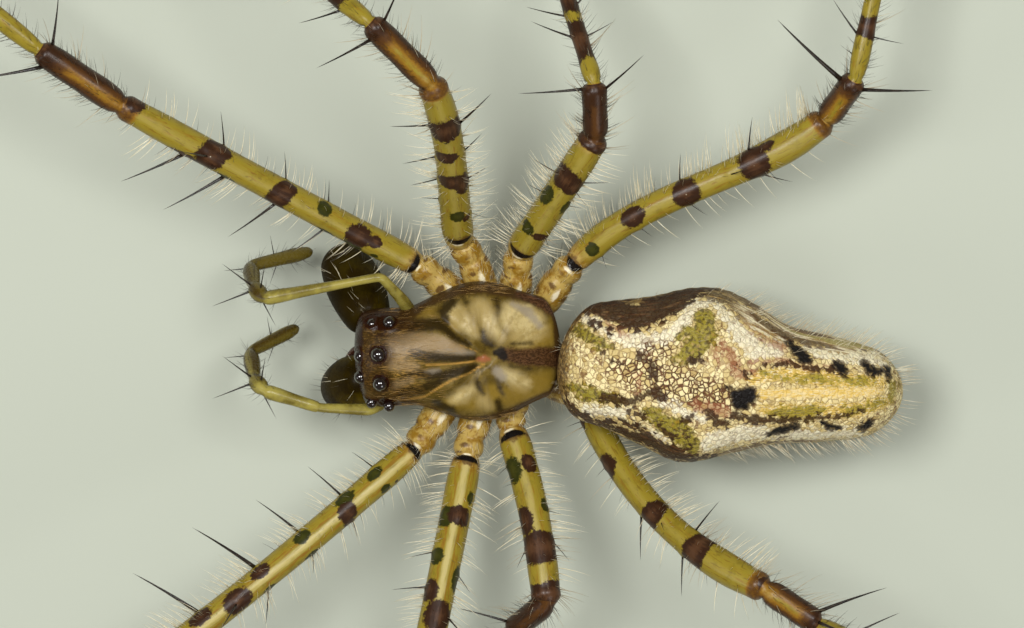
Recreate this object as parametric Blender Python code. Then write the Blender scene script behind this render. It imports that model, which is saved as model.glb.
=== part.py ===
"""A still, life-size long-jawed spider, Tetragnatha quasimodo, standing on its eight feet.

Sizes and places are in millimetres in the animal's own frame: the head looks along -X, its right side
is +Y, the floor is z = 0 and the point under the fovea of the carapace is the origin. A heading turns
from +X towards +Y and a pitch rises from the floor, both in degrees. Everything is moved at the end so
that the origin is the middle of the footprint, and scaled to metres.
"""
import math
import random

import bmesh
import bpy
from mathutils import Vector

MM = 0.001
GAP = 0.1            # left between two pieces that meet
SEED = 41

# Body
CARAPACE_FRONT = Vector((-2.27, -0.14, 2.0))
CARAPACE_REAR = Vector((1.34, 0.10, 2.0))
HEAD_TOP = 0.82      # above the margin
FOVEA_TOP = 0.72
THORAX_END = 0.14
CARAPACE_BELLY = 0.10
FOVEA_AT = 0.62      # along the carapace

ABDOMEN_FRONT = Vector((1.29, -0.17, 2.36))
ABDOMEN_REAR = Vector((7.36, -0.79, 1.97))
HUMP_AT = 0.40       # the paired shoulder humps, along the abdomen
HUMP_SWELL = 0.09

STERNUM_Z = 1.28
STERNUM_LENGTH, STERNUM_WIDTH, STERNUM_THICK = 1.75, 1.30, 0.30

# Legs, one row for each pair: lengths of femur, patella, tibia, metatarsus and tarsus
LENGTHS = {
    1: (6.20, 1.75, 6.30, 6.50, 1.40),
    2: (4.40, 1.60, 4.20, 4.40, 1.15),
    3: (3.27, 1.05, 2.10, 2.30, 0.80),
    4: (5.18, 1.10, 3.90, 4.40, 1.00),
}
COXA_RADIUS, TROCHANTER_RADIUS = 0.29, 0.27
FEMUR_RADIUS = (0.23, 0.26, 0.25, 0.23)
PATELLA_RADIUS = (0.22, 0.25)
TIBIA_RADIUS = (0.245, 0.24)
METATARSUS_RADIUS = (0.24, 0.23)
TARSUS_RADIUS = (0.225, 0.15)
FOOT_Z = 0.11        # centre of the tarsus tip above the floor
LEG_TAPER = {1: 1.0, 2: 0.97, 3: 0.92, 4: 0.95}

# Each leg: where its coxa, trochanter and femur start, how far its femur bows up and to the side, and
# the heading and pitch of femur, patella and tibia, then the heading of the metatarsus with the pitch
# of the tarsus
LEGS = {
    "r1": ((-0.39, 0.84, 1.66), (-0.91, 1.30, 1.80), (-1.18, 1.52, 1.85), (0.10, 0.0),
           (148.75, 14.5), (144.5, 6.0), (141.5, -3.0), (147.0, -35.0)),
    "r2": ((0.03, 0.91, 1.66), (-0.21, 1.63, 1.80), (-0.39, 1.95, 1.95), (0.12, 0.02),
           (98.2, 40.5), (133.0, 13.9), (147.0, -35.0), (146.0, -35.0)),
    "r3": ((0.54, 0.91, 1.64), (0.58, 1.40, 1.80), (0.61, 1.75, 1.90), (0.10, 0.0),
           (60.7, 33.5), (92.0, 16.9), (109.5, -40.0), (106.0, -42.0)),
    "r4": ((1.07, 0.80, 1.62), (1.37, 1.29, 1.75), (1.58, 1.54, 1.85), (0.10, 0.22),
           (31.8, 6.0), (59.0, 30.6), (78.0, -7.0), (72.0, -35.0)),
    "l1": ((-0.57, -0.86, 1.66), (-1.02, -1.50, 1.80), (-1.22, -1.77, 1.90), (0.10, 0.05),
           (-142.2, 16.9), (-142.0, 10.0), (-140.0, -8.0), (-144.0, -35.0)),
    "l2": ((-0.04, -0.93, 1.66), (-0.25, -1.61, 1.80), (-0.30, -1.93, 1.90), (0.10, 0.0),
           (-102.4, 26.3), (-115.0, 6.0), (-128.0, -25.0), (-132.0, -35.0)),
    "l3": ((0.53, -0.88, 1.60), (0.47, -1.20, 1.68), (0.47, -1.46, 1.74), (0.10, 0.10),
           (-77.3, 29.5), (-134.0, -33.0), (-125.0, -34.0), (-120.0, -35.0)),
    "l4": ((1.12, -0.66, 1.46), (1.60, -0.90, 1.22), (1.83, -1.11, 1.16), (0.10, -0.45),
           (-40.8, 38.0), (-32.4, 10.0), (-33.0, -30.0), (-30.0, -38.0)),
}

# Spines: how far along the piece, degrees round it from the top towards the head end, length, and lean
# towards the foot. Those of a femur differ from leg to leg, the other pieces mostly share a pattern.
FEMUR_SPINES = {
    "r1": ((0.20, 85, 0.50, 20), (0.30, 95, 0.75, 18), (0.33, -80, 0.45, 30), (0.46, 100, 1.00, 22),
           (0.47, -85, 0.55, 30), (0.63, 90, 1.25, 30), (0.68, -95, 0.65, 35), (0.71, 5, 0.80, 45),
           (0.77, 90, 1.15, 30)),
    "r2": ((0.20, -80, 0.35, -20), (0.30, 85, 0.40, 15), (0.42, -85, 0.50, 40), (0.43, 95, 0.60, -20),
           (0.57, 100, 0.75, -22), (0.59, -90, 0.60, 44), (0.75, -85, 1.00, 38), (0.77, 80, 0.80, 20),
           (0.66, 5, 0.75, 45)),
    "r3": ((0.22, -60, 0.30, -35), (0.50, 80, 0.42, 5), (0.50, -90, 0.35, 26), (0.66, 95, 0.60, 0),
           (0.62, -60, 0.40, -12), (0.68, -95, 0.62, 32)),
    "r4": ((0.09, -75, 0.35, -20), (0.26, -80, 0.35, 25), (0.46, 80, 0.65, 20), (0.46, -85, 0.48, 31),
           (0.71, 75, 0.85, 25), (0.72, -85, 0.68, 44), (0.62, 5, 0.60, 45)),
    "l1": ((0.13, 85, 0.48, 12), (0.25, 90, 0.75, 9), (0.27, -85, 0.32, 22), (0.41, 90, 1.00, 11),
           (0.42, -90, 0.36, 37), (0.57, 85, 1.30, 15), (0.58, -95, 0.68, 37), (0.67, -10, 0.75, 40),
           (0.78, 90, 1.35, 16)),
    "l2": ((0.24, -20, 0.50, 45), (0.42, 90, 0.50, 20), (0.49, -80, 0.42, 40), (0.57, 95, 0.65, 16),
           (0.66, -60, 0.75, 34), (0.76, 85, 0.95, 20), (0.80, -90, 0.80, 34)),
    "l3": ((0.20, 75, 0.35, 30), (0.50, -85, 0.35, 30), (0.70, 95, 0.50, 52), (0.68, -90, 0.55, 60)),
    "l4": ((0.05, 80, 0.40, 0), (0.24, 85, 0.30, 10), (0.46, 95, 0.95, 42), (0.66, -60, 0.75, 5),
           (0.67, 85, 0.95, 33), (0.52, 5, 0.55, 45)),
}
PATELLA_SPINES = {
    "r1": ((0.86, 70, 1.25, 43), (0.90, -75, 1.10, 28)),
    "r3": ((0.88, 90, 1.46, -8), (0.88, -85, 1.18, 40)),
    "r4": ((0.86, 80, 1.72, 17), (0.90, -80, 1.60, 22)),
    "l4": ((0.88, -80, 1.57, 31), (0.95, -20, 1.45, 40)),
}
COMMON_PATELLA_SPINES = ((0.86, 70, 1.25, 20), (0.90, -75, 1.10, 26))
TIBIA_SPINES = {
    "r3": ((0.45, -90, 0.67, 9), (0.49, 90, 1.00, 39), (0.70, 90, 0.90, 36), (0.76, -95, 0.85, 38),
           (0.92, 75, 0.80, 40)),
    "r4": ((0.20, 85, 0.88, 41), (0.20, -90, 0.68, 0), (0.40, 100, 1.25, 38), (0.44, -90, 0.95, 25),
           (0.66, 90, 1.20, 36), (0.74, -95, 1.00, 38), (0.92, 75, 0.80, 40)),
}
COMMON_TIBIA_SPINES = (
    (0.14, 90, 0.95, 35), (0.20, -85, 1.05, 38), (0.40, 100, 1.25, 38), (0.44, -90, 0.95, 25),
    (0.56, 5, 1.00, 45), (0.66, 90, 1.20, 36), (0.74, -95, 1.00, 38), (0.92, 75, 0.80, 40),
)
METATARSUS_SPINES = ((0.08, 85, 0.95, 38), (0.12, -80, 0.90, 38), (0.34, 90, 0.80, 40), (0.40, -85, 0.75, 40))
SPINE_SIZE = {1: 1.0, 2: 0.92, 3: 0.78, 4: 0.80}
SPINE_RADIUS, SPINE_TIP = 0.115, 0.022
SPINE_SINK = 0.14     # of the root, under the skin
SPINE_SIDES = 4
SPINE_VARIES = 0.08   # share by which the lengths differ
SPINE_TURNS = 5       # degrees by which the leans differ
# Bristles of the palp's knee: heading, pitch and length
PALP_BRISTLES = ((200, 12, 0.62), (140, 20, 0.60), (265, 25, 0.50))

# Palps: the joints from coxa to tarsus tip, and the radius there
PALPS = {
    "r": ((-1.44, 0.95, 2.28), (-1.80, 1.45, 2.66), (-3.85, 1.06, 2.68), (-4.02, 1.20, 2.40),
          (-4.12, 1.42, 1.50), (-3.04, 1.56, 0.85)),
    "l": ((-2.02, -1.02, 2.20), (-2.88, -0.92, 2.52), (-3.85, -0.59, 2.63), (-4.02, -0.46, 2.36),
          (-4.12, -0.12, 1.50), (-3.29, 0.19, 0.85)),
}
PALP_RADII = (0.17, 0.15, 0.20, 0.22, 0.20, 0.12)

# Chelicerae: base and end of the thick basal piece, and the folded fang
CHELICERAE = {
    "r": ((-2.02, 0.34, 1.86), (-2.64, 1.33, 0.56)),
    "l": ((-2.02, -0.42, 1.86), (-2.62, -0.98, 0.56)),
}
CHELICERA_RADII = (0.34, 0.46, 0.49, 0.42, 0.34)
FANG_LENGTH, FANG_RADIUS = 1.25, 0.10

# Eyes: centre and radius
EYES = {
    "pme_r": ((-1.85, 0.08, 2.76), 0.150),
    "pme_l": ((-1.86, -0.45, 2.76), 0.150),
    "ame_r": ((-2.17, 0.02, 2.50), 0.125),
    "ame_l": ((-2.17, -0.35, 2.50), 0.125),
    "ale_r": ((-1.96, 0.55, 2.40), 0.105),
    "ple_r": ((-1.66, 0.60, 2.52), 0.105),
    "ale_l": ((-1.98, -0.85, 2.38), 0.105),
    "ple_l": ((-1.67, -0.89, 2.50), 0.105),
}
SOCKET_GAP = 0.04

COLOURS = {
    "carapace": ((0.30, 0.21, 0.07), 0.35),
    "abdomen": ((0.62, 0.55, 0.38), 0.55),
    "leg": ((0.55, 0.40, 0.13), 0.40),
    "chelicera": ((0.22, 0.15, 0.03), 0.30),
    "palp": ((0.45, 0.38, 0.12), 0.35),
    "eye": ((0.02, 0.008, 0.006), 0.08),
    "sternum": ((0.18, 0.12, 0.05), 0.45),
}


def clear_scene():
    for item in list(bpy.data.objects):
        bpy.data.objects.remove(item)


def collection(name):
    made = bpy.data.collections.new(name)
    bpy.context.scene.collection.children.link(made)
    return made


def material(name):
    colour, roughness = COLOURS[name]
    made = bpy.data.materials.new(name)
    made.use_nodes = True
    shader = made.node_tree.nodes["Principled BSDF"]
    shader.inputs["Base Color"].default_value = (*colour, 1)
    shader.inputs["Roughness"].default_value = roughness
    return made


def direction(heading, pitch):
    heading, pitch = math.radians(heading), math.radians(pitch)
    flat = math.cos(pitch)
    return Vector((math.cos(heading) * flat, math.sin(heading) * flat, math.sin(pitch)))


def between(rows, at):
    """A smooth value at a place between the rows (place, value, ...)."""
    for first, second in zip(rows, rows[1:]):
        if at <= second[0]:
            part = (at - first[0]) / (second[0] - first[0])
            part = part * part * (3 - 2 * part) * 0.5 + part * 0.5
            return [a + (b - a) * part for a, b in zip(first[1:], second[1:])]
    return list(rows[-1][1:])


def round_end(at, front, rear):
    """1 along the middle of a form, closing in a quarter round over the front and rear shares."""
    near = min(at / front, (1 - at) / rear, 1.0)
    return math.sqrt(max(0.0, 1 - (1 - near) ** 2))


def bell(value, centre, width):
    return math.exp(-((value - centre) / width) ** 2)


def rounded_form(name, place, sides, rings, target):
    """A closed form from a sphere, each point moved to place(share along the form, angle round it)."""
    mesh = bpy.data.meshes.new(name)
    form = bmesh.new()
    bmesh.ops.create_uvsphere(form, u_segments=sides, v_segments=rings, radius=1)
    for point in form.verts:
        along = 0.5 * (1 - max(-1.0, min(1.0, point.co.z)))
        angle = math.atan2(point.co.y, point.co.x)
        if abs(point.co.z) > 0.9999:
            angle = 0.0
        point.co = place(along, angle)
    bmesh.ops.recalc_face_normals(form, faces=form.faces)
    form.to_mesh(mesh)
    form.free()
    mesh.shade_smooth()
    made = bpy.data.objects.new(name, mesh)
    target.objects.link(made)
    return made


def ball(name, centre, radius, target, fineness=2):
    mesh = bpy.data.meshes.new(name)
    form = bmesh.new()
    bmesh.ops.create_icosphere(form, subdivisions=fineness, radius=radius)
    bmesh.ops.translate(form, verts=form.verts, vec=centre)
    form.to_mesh(mesh)
    form.free()
    mesh.shade_smooth()
    made = bpy.data.objects.new(name, mesh)
    target.objects.link(made)
    return made


def tube(name, points, radii, target, fineness=2):
    """A closed tube of changing radius through the points, as a mesh."""
    curve = bpy.data.curves.new(name, "CURVE")
    curve.dimensions = "3D"
    curve.bevel_depth = 1.0
    curve.bevel_resolution = fineness
    curve.use_fill_caps = True
    spline = curve.splines.new("POLY")
    spline.points.add(len(points) - 1)
    for point, place, radius in zip(spline.points, points, radii):
        point.co = (*place, 1)
        point.radius = radius
    guide = bpy.data.objects.new(name + "_guide", curve)
    target.objects.link(guide)
    bpy.context.view_layer.update()
    solid = guide.evaluated_get(bpy.context.evaluated_depsgraph_get())
    mesh = bpy.data.meshes.new_from_object(solid)
    form = bmesh.new()
    form.from_mesh(mesh)
    bmesh.ops.remove_doubles(form, verts=form.verts, dist=0.0001)
    bmesh.ops.recalc_face_normals(form, faces=form.faces)
    form.to_mesh(mesh)
    form.free()
    mesh.name = name
    made = bpy.data.objects.new(name, mesh)
    made.matrix_world = guide.matrix_world
    target.objects.link(made)
    bpy.data.objects.remove(guide)
    return made


def cut_flat(made, point, normal):
    """Take away what lies beyond the plane, on the side its normal points to, and close the cut."""
    form = bmesh.new()
    form.from_mesh(made.data)
    everything = form.verts[:] + form.edges[:] + form.faces[:]
    bmesh.ops.bisect_plane(form, geom=everything, plane_co=point, plane_no=normal,
                           clear_outer=True, dist=0.00001)
    rim = [edge for edge in form.edges if edge.is_boundary]
    bmesh.ops.contextual_create(form, geom=rim)
    bmesh.ops.recalc_face_normals(form, faces=form.faces)
    form.to_mesh(made.data)
    form.free()


def boolean(made, operation, operand=None, group=None, solver="EXACT"):
    step = made.modifiers.new(operation.title(), "BOOLEAN")
    step.operation = operation
    step.solver = solver
    if group:
        step.operand_type = "COLLECTION"
        step.collection = group
    else:
        step.object = operand
    bpy.context.view_layer.update()
    solid = made.evaluated_get(bpy.context.evaluated_depsgraph_get())
    mesh = bpy.data.meshes.new_from_object(solid)
    made.modifiers.remove(step)
    made.data = mesh


def keep_largest(made):
    """Leave only the largest closed surface of the mesh."""
    form = bmesh.new()
    form.from_mesh(made.data)
    left = set(form.verts)
    shells = []
    while left:
        shell, edge_of = set(), [left.pop()]
        while edge_of:
            point = edge_of.pop()
            shell.add(point)
            for edge in point.link_edges:
                other = edge.other_vert(point)
                if other in left:
                    left.remove(other)
                    edge_of.append(other)
        shells.append(shell)
    shells.sort(key=len)
    loose = [point for shell in shells[:-1] for point in shell]
    bmesh.ops.delete(form, geom=loose, context="VERTS")
    form.to_mesh(made.data)
    form.free()


def finish(made, look):
    made.data.materials.clear()
    made.data.materials.append(look)
    made.data.shade_smooth()
    return made


def body_frame(start, end):
    """Unit vectors along a body form, to its right side and up."""
    along = (end - start).normalized()
    right = Vector((0, 0, 1)).cross(along).normalized()
    if right.y < 0:
        right = -right
    return along, right, Vector((0, 0, 1))


# Half width of the carapace by its place along it, head end first
CARAPACE_WIDTHS = ((0.0, 0.80), (0.12, 0.865), (0.30, 0.885), (0.40, 1.03), (0.50, 1.17),
                   (0.61, 1.24), (0.73, 1.16), (0.85, 0.98), (1.0, 0.80))
# Height of its midline over the margin
CARAPACE_HEIGHTS = ((0.0, 0.52), (0.07, 0.70), (0.16, HEAD_TOP), (0.42, 0.90), (FOVEA_AT, FOVEA_TOP),
                    (0.74, 0.64), (0.87, 0.42), (1.0, THORAX_END))


def carapace_place(at, angle):
    length = (CARAPACE_REAR - CARAPACE_FRONT).length
    along, right, up = body_frame(CARAPACE_FRONT, CARAPACE_REAR)
    closing = round_end(at, 0.06, 0.08)
    half = between(CARAPACE_WIDTHS, at)[0] * closing
    height = between(CARAPACE_HEIGHTS, at)[0] * closing ** 0.6
    side, over = math.cos(angle), math.sin(angle)
    if over < 0:
        return CARAPACE_FRONT + along * length * at + right * half * side + up * CARAPACE_BELLY * over
    lift = height * over ** 0.85
    neck_groove = 0.07 * bell(at, 0.34 + 0.30 * (1 - abs(side)), 0.06) * min(1.0, 2 * over)
    pit = 0.10 * bell(at, FOVEA_AT, 0.05) * bell(side, 0, 0.12)
    return CARAPACE_FRONT + along * length * at + right * half * side + up * max(0, lift - neck_groove - pit)


def make_carapace(parts, cutters, look):
    carapace = rounded_form("carapace", carapace_place, 28, 24, parts)
    for name, (centre, radius) in EYES.items():
        ball("socket_" + name, centre, radius + SOCKET_GAP, cutters)
    boolean(carapace, "DIFFERENCE", group=cutters)
    keep_largest(carapace)
    return finish(carapace, look)


def make_eyes(parts, look):
    for name, (centre, radius) in EYES.items():
        finish(ball("eye_" + name, centre, radius, parts), look)


# Abdomen: half width to the right and to the left, height over its axis and depth under it
ABDOMEN_SECTIONS = ((0.0, 1.00, 0.94, 0.62, 0.72), (0.13, 1.19, 1.02, 0.80, 1.00),
                    (0.25, 1.34, 1.27, 1.04, 1.16), (0.37, 1.56, 1.50, 1.22, 1.24),
                    (0.45, 1.58, 1.43, 1.24, 1.22), (0.54, 1.39, 1.26, 1.20, 1.14),
                    (0.65, 1.04, 1.06, 1.12, 0.98), (0.77, 0.93, 0.96, 1.02, 0.86),
                    (0.88, 0.80, 0.83, 0.86, 0.68), (1.0, 0.60, 0.62, 0.58, 0.44))


def abdomen_place(at, angle):
    length = (ABDOMEN_REAR - ABDOMEN_FRONT).length
    along, right, up = body_frame(ABDOMEN_FRONT, ABDOMEN_REAR)
    right_half, left_half, height, depth = between(ABDOMEN_SECTIONS, at)
    closing = round_end(at, 0.10, 0.10)
    side, over = math.cos(angle), math.sin(angle)
    hump = 1 + HUMP_SWELL * bell(at, HUMP_AT, 0.09) * bell(abs(side), 0.72, 0.25) * (over > 0)
    half = right_half if side > 0 else left_half
    rise = height if over > 0 else depth
    return ABDOMEN_FRONT + along * length * at + (right * half * side + up * rise * over) * closing * hump


PEDICEL = ((1.10, -0.02, 1.72), (1.56, -0.10, 1.84), (1.95, -0.22, 2.0))
PEDICEL_RADIUS = 0.20


def make_abdomen(parts, look):
    abdomen = rounded_form("abdomen", abdomen_place, 26, 26, parts)
    joined = collection("abdomen_joined")
    tube("pedicel", PEDICEL, [PEDICEL_RADIUS] * 3, joined)
    boolean(abdomen, "UNION", group=joined)
    drop(joined)
    keep_largest(abdomen)
    return finish(abdomen, look)


def drop(group):
    for item in list(group.objects):
        bpy.data.objects.remove(item)
    bpy.data.collections.remove(group)


# Spinnerets: a cluster of six small cones under the tip of the abdomen
SPINNERETS_AT = Vector((6.86, -0.75, 1.40))
SPINNERETS_LENGTH, SPINNERETS_RADIUS = 0.42, 0.15


def make_spinnerets(parts, look):
    joined = collection("spinnerets_joined")
    heading = math.degrees(math.atan2(ABDOMEN_REAR.y - ABDOMEN_FRONT.y, ABDOMEN_REAR.x - ABDOMEN_FRONT.x))
    away = direction(heading, -50)
    across = direction(heading + 90, 0)
    pairs = ((0.13, 0.0, 1.0), (-0.13, 0.0, 1.0), (0.12, 0.16, 0.85), (-0.12, 0.16, 0.85), (0.0, 0.09, 0.7))
    for index, (side, back, size) in enumerate(pairs):
        start = SPINNERETS_AT + across * side + Vector((back, 0, 0)) - away * 0.05
        end = start + away * SPINNERETS_LENGTH * size
        tube(f"cone_{index}", (start, start.lerp(end, 0.6), end),
             [SPINNERETS_RADIUS * size, SPINNERETS_RADIUS * size * 0.9, SPINNERETS_RADIUS * 0.45], joined)
    base = joined.objects[0]
    joined.objects.unlink(base)
    parts.objects.link(base)
    base.name = "spinnerets"
    boolean(base, "UNION", group=joined)
    drop(joined)
    keep_largest(base)
    return finish(base, look)


def make_sternum(parts, look):
    centre = Vector((0.28, -0.02, STERNUM_Z))

    def place(at, angle):
        closing = round_end(at, 0.35, 0.65)
        half = 0.5 * STERNUM_WIDTH * closing
        return centre + Vector((STERNUM_LENGTH * (at - 0.5), half * math.cos(angle),
                                0.5 * STERNUM_THICK * closing ** 0.5 * math.sin(angle)))

    return finish(rounded_form("sternum", place, 20, 12, parts), look)


# Mouthparts: the lip and the two plates beside it, under the head
LIP = ((-0.62, -0.03, 1.34), (-1.10, -0.06, 1.36))
PLATES = {"r": ((-0.80, 0.30, 1.36), (-1.72, 0.42, 1.38)), "l": ((-0.80, -0.36, 1.36), (-1.72, -0.56, 1.38))}


def make_mouthparts(parts, look):
    joined = collection("mouthparts_joined")
    for side, (start, end) in PLATES.items():
        start, end = Vector(start), Vector(end)
        tube("plate_" + side, (start, start.lerp(end, 0.5), end), [0.24, 0.22, 0.26], joined)
    base = tube("mouthparts", (Vector(LIP[0]), Vector(LIP[1])), [0.30, 0.22], parts)
    boolean(base, "UNION", group=joined)
    drop(joined)
    keep_largest(base)
    return finish(base, look)


def make_chelicera(side, parts, look):
    start, end = (Vector(place) for place in CHELICERAE[side])
    along = (end - start).normalized()
    across = along.cross(Vector((0, 0, 1))).normalized()
    third = along.cross(across)
    rows = [(index / (len(CHELICERA_RADII) - 1), radius) for index, radius in enumerate(CHELICERA_RADII)]

    def place(at, angle):
        radius = between(rows, at)[0] * round_end(at, 0.14, 0.16)
        return start.lerp(end, at) + (across * math.cos(angle) + third * math.sin(angle)) * radius

    paturon = rounded_form("chelicera_" + side, place, 14, 14, parts)
    inward = -1 if side == "r" else 1
    inner = Vector((0.15, inward, 0)).normalized()
    tip = end - along * 0.16
    points, radii = [], []
    for step in range(6):
        share = step / 5
        bulge = 0.52 * math.sin(math.pi * (0.12 + 0.80 * share))
        points.append(tip - along * FANG_LENGTH * share + inner * (bulge + 0.10) - Vector((0.10, 0, 0)) * share)
        radii.append(FANG_RADIUS * (1 - 0.75 * share))
    joined = collection("fang_joined")
    tube("fang", [tip] + points, [FANG_RADIUS] + radii, joined)
    boolean(paturon, "UNION", group=joined)
    drop(joined)
    keep_largest(paturon)
    return finish(paturon, look)


def joint_normal(points, index):
    before = (points[index] - points[index - 1]).normalized()
    after = (points[index + 1] - points[index]).normalized()
    return (before + after).normalized()


def make_palp(side, parts, look):
    points = [Vector(place) for place in PALPS[side]]
    split = 2
    normal = joint_normal(points, split)
    whole = list(points)
    whole.append(points[-1] + (points[-1] - points[-2]).normalized() * 0.08)
    radii = list(PALP_RADII) + [0.05]
    femur = tube(f"palp_{side}_femur", whole, radii, parts)
    cut_flat(femur, points[split] - normal * GAP * 0.5, normal)
    rest = tube(f"palp_{side}_tarsus", whole, radii, parts)
    cut_flat(rest, points[split] + normal * GAP * 0.5, -normal)
    joined = collection("bristles")
    for index, (turn, rise, length) in enumerate(PALP_BRISTLES):
        away = direction(turn, rise)
        spine(f"bristle_{index}", points[3] + away * PALP_RADII[3] * 0.8, away, length, joined)
    boolean(rest, "UNION", group=joined, solver="MANIFOLD")
    drop(joined)
    keep_largest(rest)
    return finish(femur, look), finish(rest, look)


def spine(name, root, away, length, target):
    """A tapered, slightly bent closed cone of few sides with its root sunk in."""
    across = away.orthogonal().normalized()
    sweep = Vector((0, 0, -1)) - away * -away.z
    rings = ((-SPINE_SINK, 1.0, 0.0), (0.45 * length, 0.62, 0.02 * length), (length, 0.0, 0.10 * length))
    form = bmesh.new()
    loops = []
    for reach, share, sag in rings[:-1]:
        radius = SPINE_TIP + (SPINE_RADIUS - SPINE_TIP) * share
        middle = root + away * reach + sweep * sag
        loop = []
        for step in range(SPINE_SIDES):
            turn = 2 * math.pi * step / SPINE_SIDES
            out = across * math.cos(turn) + away.cross(across) * math.sin(turn)
            loop.append(form.verts.new(middle + out * radius))
        loops.append(loop)
    reach, share, sag = rings[-1]
    tip = form.verts.new(root + away * reach + sweep * sag)
    form.faces.new(loops[0])
    for step in range(SPINE_SIDES):
        following = (step + 1) % SPINE_SIDES
        form.faces.new((loops[0][step], loops[0][following], loops[1][following], loops[1][step]))
        form.faces.new((loops[1][step], loops[1][following], tip))
    bmesh.ops.recalc_face_normals(form, faces=form.faces)
    mesh = bpy.data.meshes.new(name)
    form.to_mesh(mesh)
    form.free()
    made = bpy.data.objects.new(name, mesh)
    target.objects.link(made)


def add_spines(made, line, radii, rows, headward, size, draw):
    """Fuse a row of spines to a piece whose axis runs along the line."""
    lengths = [(b - a).length for a, b in zip(line, line[1:])]
    joined = collection(made.name + "_spines")
    for index, (share, round_it, length, lean) in enumerate(rows):
        left = share * sum(lengths)
        step = 0
        while step < len(lengths) - 1 and left > lengths[step]:
            left -= lengths[step]
            step += 1
        part = left / lengths[step]
        at = line[step].lerp(line[step + 1], part)
        radius = radii[step] + (radii[step + 1] - radii[step]) * part
        along = (line[step + 1] - line[step]).normalized()
        top = (Vector((0, 0, 1)) - along * along.z).normalized()
        front = along.cross(top)
        front = front if front.dot(headward) > 0 else -front
        turn = math.radians(round_it)
        out = top * math.cos(turn) + front * math.sin(turn)
        lean = math.radians(lean + draw.uniform(-SPINE_TURNS, SPINE_TURNS))
        away = out * math.cos(lean) + along * math.sin(lean)
        length *= size * (1 + draw.uniform(-SPINE_VARIES, SPINE_VARIES))
        root = at + out * radius * 0.9
        floor_room = (root.z - 0.12) / max(0.001, -away.z) if away.z < 0 else length
        spine(f"spine_{index}", root, away, min(length, floor_room), joined)
    boolean(made, "UNION", group=joined, solver="MANIFOLD")
    drop(joined)
    keep_largest(made)


def leg_points(name):
    """Joint points of a leg, from the coxa to the tarsus tip, and the bowed line along it with radii."""
    coxa, trochanter, start, bow, *turns = LEGS[name]
    lengths = LENGTHS[int(name[1])]
    slim = LEG_TAPER[int(name[1])]
    joints = [Vector(coxa), Vector(trochanter), Vector(start)]
    for length, turn in zip(lengths[:3], turns[:3]):
        joints.append(joints[-1] + direction(*turn) * length)
    heading, tarsus_pitch = turns[3]
    drop_left = FOOT_Z - joints[-1].z - lengths[4] * math.sin(math.radians(tarsus_pitch))
    pitch = math.degrees(math.asin(drop_left / lengths[3]))
    joints.append(joints[-1] + direction(heading, pitch) * lengths[3])
    joints.append(joints[-1] + direction(heading, tarsus_pitch) * lengths[4])

    line = [joints[0], joints[1], joints[2]]
    radii = [COXA_RADIUS, COXA_RADIUS, TROCHANTER_RADIUS]
    marks = {"coxa": 0, "femur": 2}
    knee = joints[3]
    along = (knee - joints[2]).normalized()
    upward = (Vector((0, 0, 1)) - along * along.z).normalized()
    bowing = upward * bow[0] + upward.cross(along) * bow[1]
    for step in range(1, 5):
        share = step / 5
        line.append(joints[2].lerp(knee, share) + bowing * 4 * share * (1 - share))
        radii.append(slim * between(tuple((i / 3, r) for i, r in enumerate(FEMUR_RADIUS)), share)[0])
    for key, joint, pair, steps in (("patella", 3, PATELLA_RADIUS, 2), ("tibia", 4, TIBIA_RADIUS, 3),
                                    ("metatarsus", 5, METATARSUS_RADIUS, 3), ("tarsus", 6, TARSUS_RADIUS, 2)):
        marks[key] = len(line)
        for step in range(steps):
            share = step / steps
            line.append(joints[joint].lerp(joints[joint + 1], share))
            radii.append(slim * (pair[0] + (pair[1] - pair[0]) * share))
    line.append(joints[-1])
    radii.append(slim * TARSUS_RADIUS[1])
    return line, radii, marks


PIECES = (("coxa", "coxa", "femur"), ("femur", "femur", "patella"), ("patella", "patella", "tibia"),
          ("tibia", "tibia", "metatarsus"), ("tarsus", "metatarsus", None))


def make_leg(name, parts, look, draw):
    line, radii, marks = leg_points(name)
    pair = int(name[1])
    size = SPINE_SIZE[pair]
    spines = {"femur": FEMUR_SPINES[name], "patella": PATELLA_SPINES.get(name, COMMON_PATELLA_SPINES),
              "tibia": TIBIA_SPINES.get(name, COMMON_TIBIA_SPINES), "tarsus": METATARSUS_SPINES}
    headward = Vector((-1, 0, 0))
    for piece, first, last in PIECES:
        lead = marks[first]
        begin = max(0, lead - 1)
        end = len(line) if last is None else marks[last] + 2
        made = tube(f"leg_{name}_{piece}", line[begin:end], radii[begin:end], parts)
        if lead:
            normal = joint_normal(line, lead)
            cut_flat(made, line[lead] + normal * GAP * 0.5, -normal)
        if last:
            normal = joint_normal(line, marks[last])
            cut_flat(made, line[marks[last]] - normal * GAP * 0.5, normal)
        else:
            cut_flat(made, Vector((0, 0, 0)), Vector((0, 0, -1)))
        if piece in spines:
            reach = marks["tarsus"] + 1 if last is None else marks[last] + 1
            add_spines(made, line[lead:reach], radii[lead:reach], spines[piece], headward, size, draw)
        finish(made, look)


def to_footprint_middle(parts):
    """Move everything so that the origin is the middle of the footprint, on the floor, and to metres."""
    corners = [point.co for item in parts.objects for point in item.data.vertices]
    low_x, high_x = min(c.x for c in corners), max(c.x for c in corners)
    low_y, high_y = min(c.y for c in corners), max(c.y for c in corners)
    shift = Vector((-0.5 * (low_x + high_x), -0.5 * (low_y + high_y), 0))
    for item in parts.objects:
        for point in item.data.vertices:
            point.co = (point.co + shift) * MM


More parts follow.
